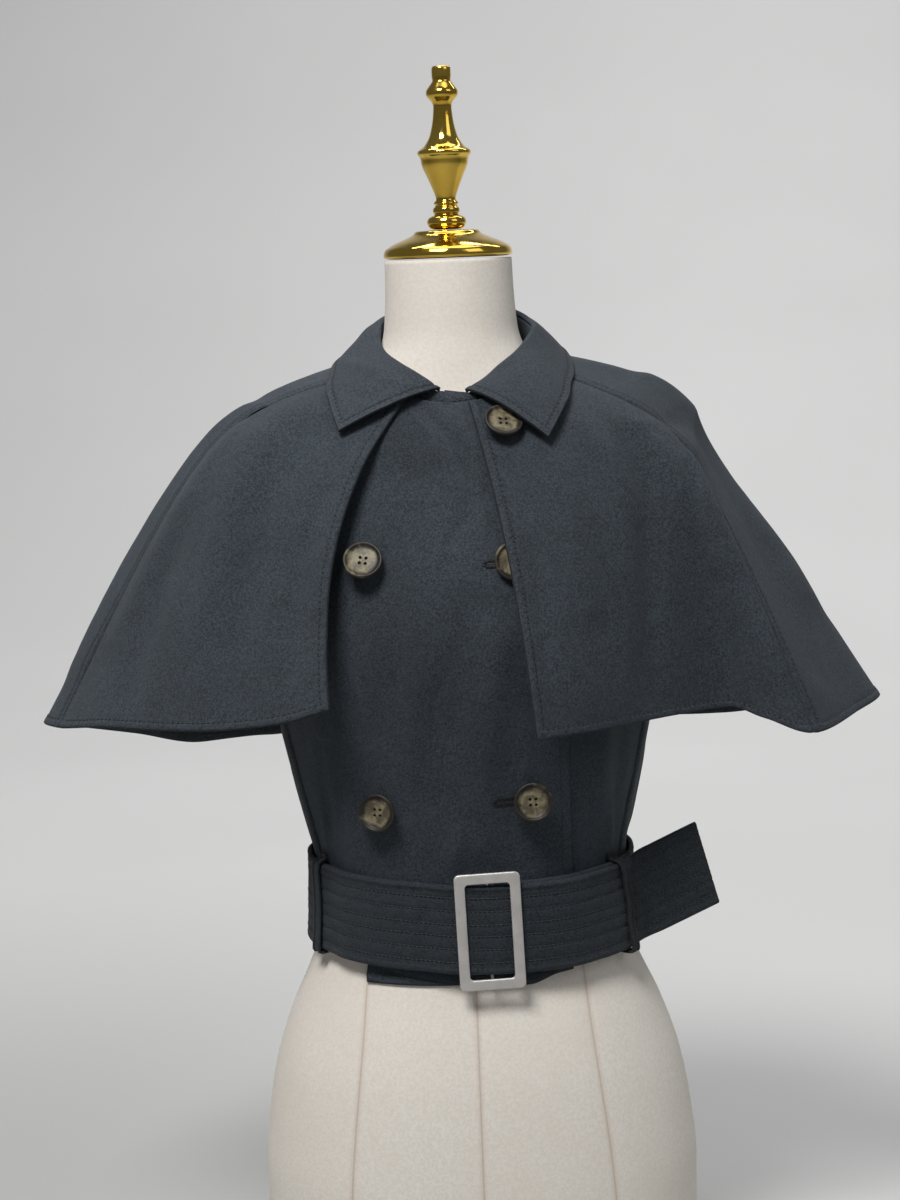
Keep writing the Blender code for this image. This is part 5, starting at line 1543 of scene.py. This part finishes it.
def button_blank():
    outline = rounded(BUTTON_PROFILE, 1)
    rings = turned_rings(outline * (BUTTON_RADIUS, MM), BUTTON_ROUND)
    ring_share = np.repeat(np.clip((outline[:, 0] - 0.5) / 0.35, 0, 1), BUTTON_ROUND)
    blank = lathed("button_blank", rings, [horn, hole_shade_material], ring_share)
    reach = BUTTON_HOLE_SPACING / 2
    tool_outline = np.array(HOLE_TOOL) * MM
    tools = []
    for x, y in ((reach, reach), (-reach, reach), (-reach, -reach), (reach, -reach)):
        tool = lathed("button_hole_tool", turned_rings(tool_outline, HOLE_ROUND, (x, y, 0.0)), [horn])
        cut = blank.modifiers.new("hole", "BOOLEAN")
        cut.operation = "DIFFERENCE"
        cut.object = tool
        tools.append(tool)
    bpy.context.view_layer.update()
    data = bpy.data.meshes.new_from_object(blank.evaluated_get(bpy.context.evaluated_depsgraph_get()))
    for thing in tools + [blank]:
        bpy.data.objects.remove(thing)
    data.shade_smooth()
    data.set_sharp_from_angle(angle=math.radians(38))
    return data


def place_button(node, data, point, normal, nod, turn):
    """Lay a button on a surface, with its holes level, and tilt it about its own middle."""
    normal = Vector(normal)
    sideways = UP.cross(normal).normalized()
    facing = Matrix((sideways, normal.cross(sideways), normal)).transposed().to_4x4()
    tilt = Matrix.Rotation(math.radians(-nod), 4, "X") @ Matrix.Rotation(math.radians(turn), 4, "Y")
    lift = BUTTON_RADIUS * math.sin(math.radians(math.hypot(nod, turn)))
    own = data.copy()
    own.transform(Matrix.Translation(Vector(point) + normal * (BUTTON_REST + lift)) @ facing @ tilt)
    piece = bpy.data.objects.new(node + "_horn", own)
    bpy.context.collection.objects.link(piece)
    taken(piece, node)


def make_buttons():
    data = button_blank()
    for node, (x, height, nod, turn) in JACKET_BUTTONS.items():
        height = np.array(height)
        degrees = angle_at_x(x, height)
        point = off_form(degrees, height, jacket_outside(degrees, height))
        place_button(node, data, point, form_normal(degrees, height), nod, turn)
    place = (NECK_BUTTON_LINE, NECK_BUTTON_SHARE)
    normal = cape_normal(*place)
    place_button("button_neck", data, cape_point(*place) + normal * CLOTH, normal, *NECK_BUTTON_TILT)


make_buttons()


# ---- Stage, light and camera ----

FLOOR_HALF = 7.0
WALL_START = 2.4
WALL_BEND = 3.2
WALL_HEIGHT = 6.0
WALL_STEPS = 12


def make_stage():
    """A pale floor that bends up into a wall: painted shade on the floor's left, where the key light is
    strongest, painted light on its right, where the form's shadow falls, and darker in front to throw less
    light up under the jacket.
    """
    profile = [(-FLOOR_HALF, 0.0), (WALL_START, 0.0)]
    for step in range(1, WALL_STEPS + 1):
        angle = math.pi / 2 * step / WALL_STEPS
        profile.append((WALL_START + WALL_BEND * math.sin(angle), WALL_BEND * (1 - math.cos(angle))))
    profile.append((WALL_START + WALL_BEND, WALL_HEIGHT))
    verts = [(side * FLOOR_HALF, y, z - 0.0005) for y, z in profile for side in (-1, 1)]
    faces = [(2 * row, 2 * row + 1, 2 * row + 3, 2 * row + 2) for row in range(len(profile) - 1)]
    nodes = Nodes("pale_backdrop")
    x, y, _ = nodes.axes()
    mottle = nodes.ranged(nodes.noise(1.3), 0.3, 0.7)
    wall = nodes.mixed(mottle, (0.530, 0.532, 0.526), (0.550, 0.552, 0.546))
    # painted shade on the left of the floor, where the key light is strongest, and painted light on the
    # right, where the form's shadow falls
    floor = nodes.mixed(nodes.ranged(x, -0.45, 0.45), (0.40, 0.402, 0.397), (0.59, 0.592, 0.585))
    colour = nodes.mixed(nodes.ranged(y, 0.3, 1.5), floor, wall)
    # darker under and in front of the form, so that it throws less light up under the jacket
    colour = nodes.mixed(nodes.ranged(y, -0.4, 0.2), (0.36, 0.36, 0.355), colour)
    mesh_piece("backdrop", verts, faces, [nodes.shaded(colour, 0.95, Specular_IOR_Level=0.05)])


# name, place, aim, width, height, watts, colour
LIGHTS = (
    ("key", (-0.65, -1.6, 2.7), (0.0, 0.0, 0.55), 1.0, 0.75, 76.0, (1.0, 0.992, 0.98)),
    ("fill", (1.9, -1.5, 2.2), (0.0, 0.0, 0.6), 1.4, 1.4, 8.0, (0.97, 0.985, 1.0)),
    ("top", (0.1, 0.3, 2.9), (0.0, 0.0, 0.6), 1.8, 1.4, 16.0, (1.0, 1.0, 1.0)),
    ("backdrop_wash", (1.0, 2.0, 3.4), (0.5, 4.4, 0.6), 4.5, 1.2, 140.0, (1.0, 1.0, 1.0)),
)
SKY_COLOUR = (0.93, 0.965, 1.0, 1.0)
SKY_STRENGTH = 0.13
CAMERA_PLACE = (-0.0084, -1.9, 0.82)
CAMERA_DIP = 7.74
CAMERA_ROLL = -2.2
CAMERA_LENS = 75.5


def make_lights():
    for name, place, aim, width, height, watts, colour in LIGHTS:
        data = bpy.data.lights.new(name, "AREA")
        data.shape = "RECTANGLE"
        data.size, data.size_y = width, height
        data.energy = watts
        data.color = colour
        lamp = bpy.data.objects.new(name, data)
        lamp.location = place
        lamp.rotation_euler = (Vector(aim) - Vector(place)).to_track_quat("-Z", "Y").to_euler()
        bpy.context.collection.objects.link(lamp)
    world = bpy.data.worlds.new("studio")
    world.use_nodes = True
    background = world.node_tree.nodes["Background"]
    background.inputs["Color"].default_value = SKY_COLOUR
    background.inputs["Strength"].default_value = SKY_STRENGTH
    bpy.context.scene.world = world
    bpy.context.scene.view_settings.view_transform = "Standard"


def make_camera():
    data = bpy.data.cameras.new("camera")
    data.lens = CAMERA_LENS
    data.clip_end = 60.0
    camera = bpy.data.objects.new("camera", data)
    dip = Matrix.Rotation(math.radians(90 - CAMERA_DIP), 4, "X")
    roll = Matrix.Rotation(math.radians(CAMERA_ROLL), 4, "Z")
    camera.matrix_world = Matrix.Translation(CAMERA_PLACE) @ dip @ roll
    bpy.context.collection.objects.link(camera)
    bpy.context.scene.camera = camera


make_stage()
make_lights()
make_camera()
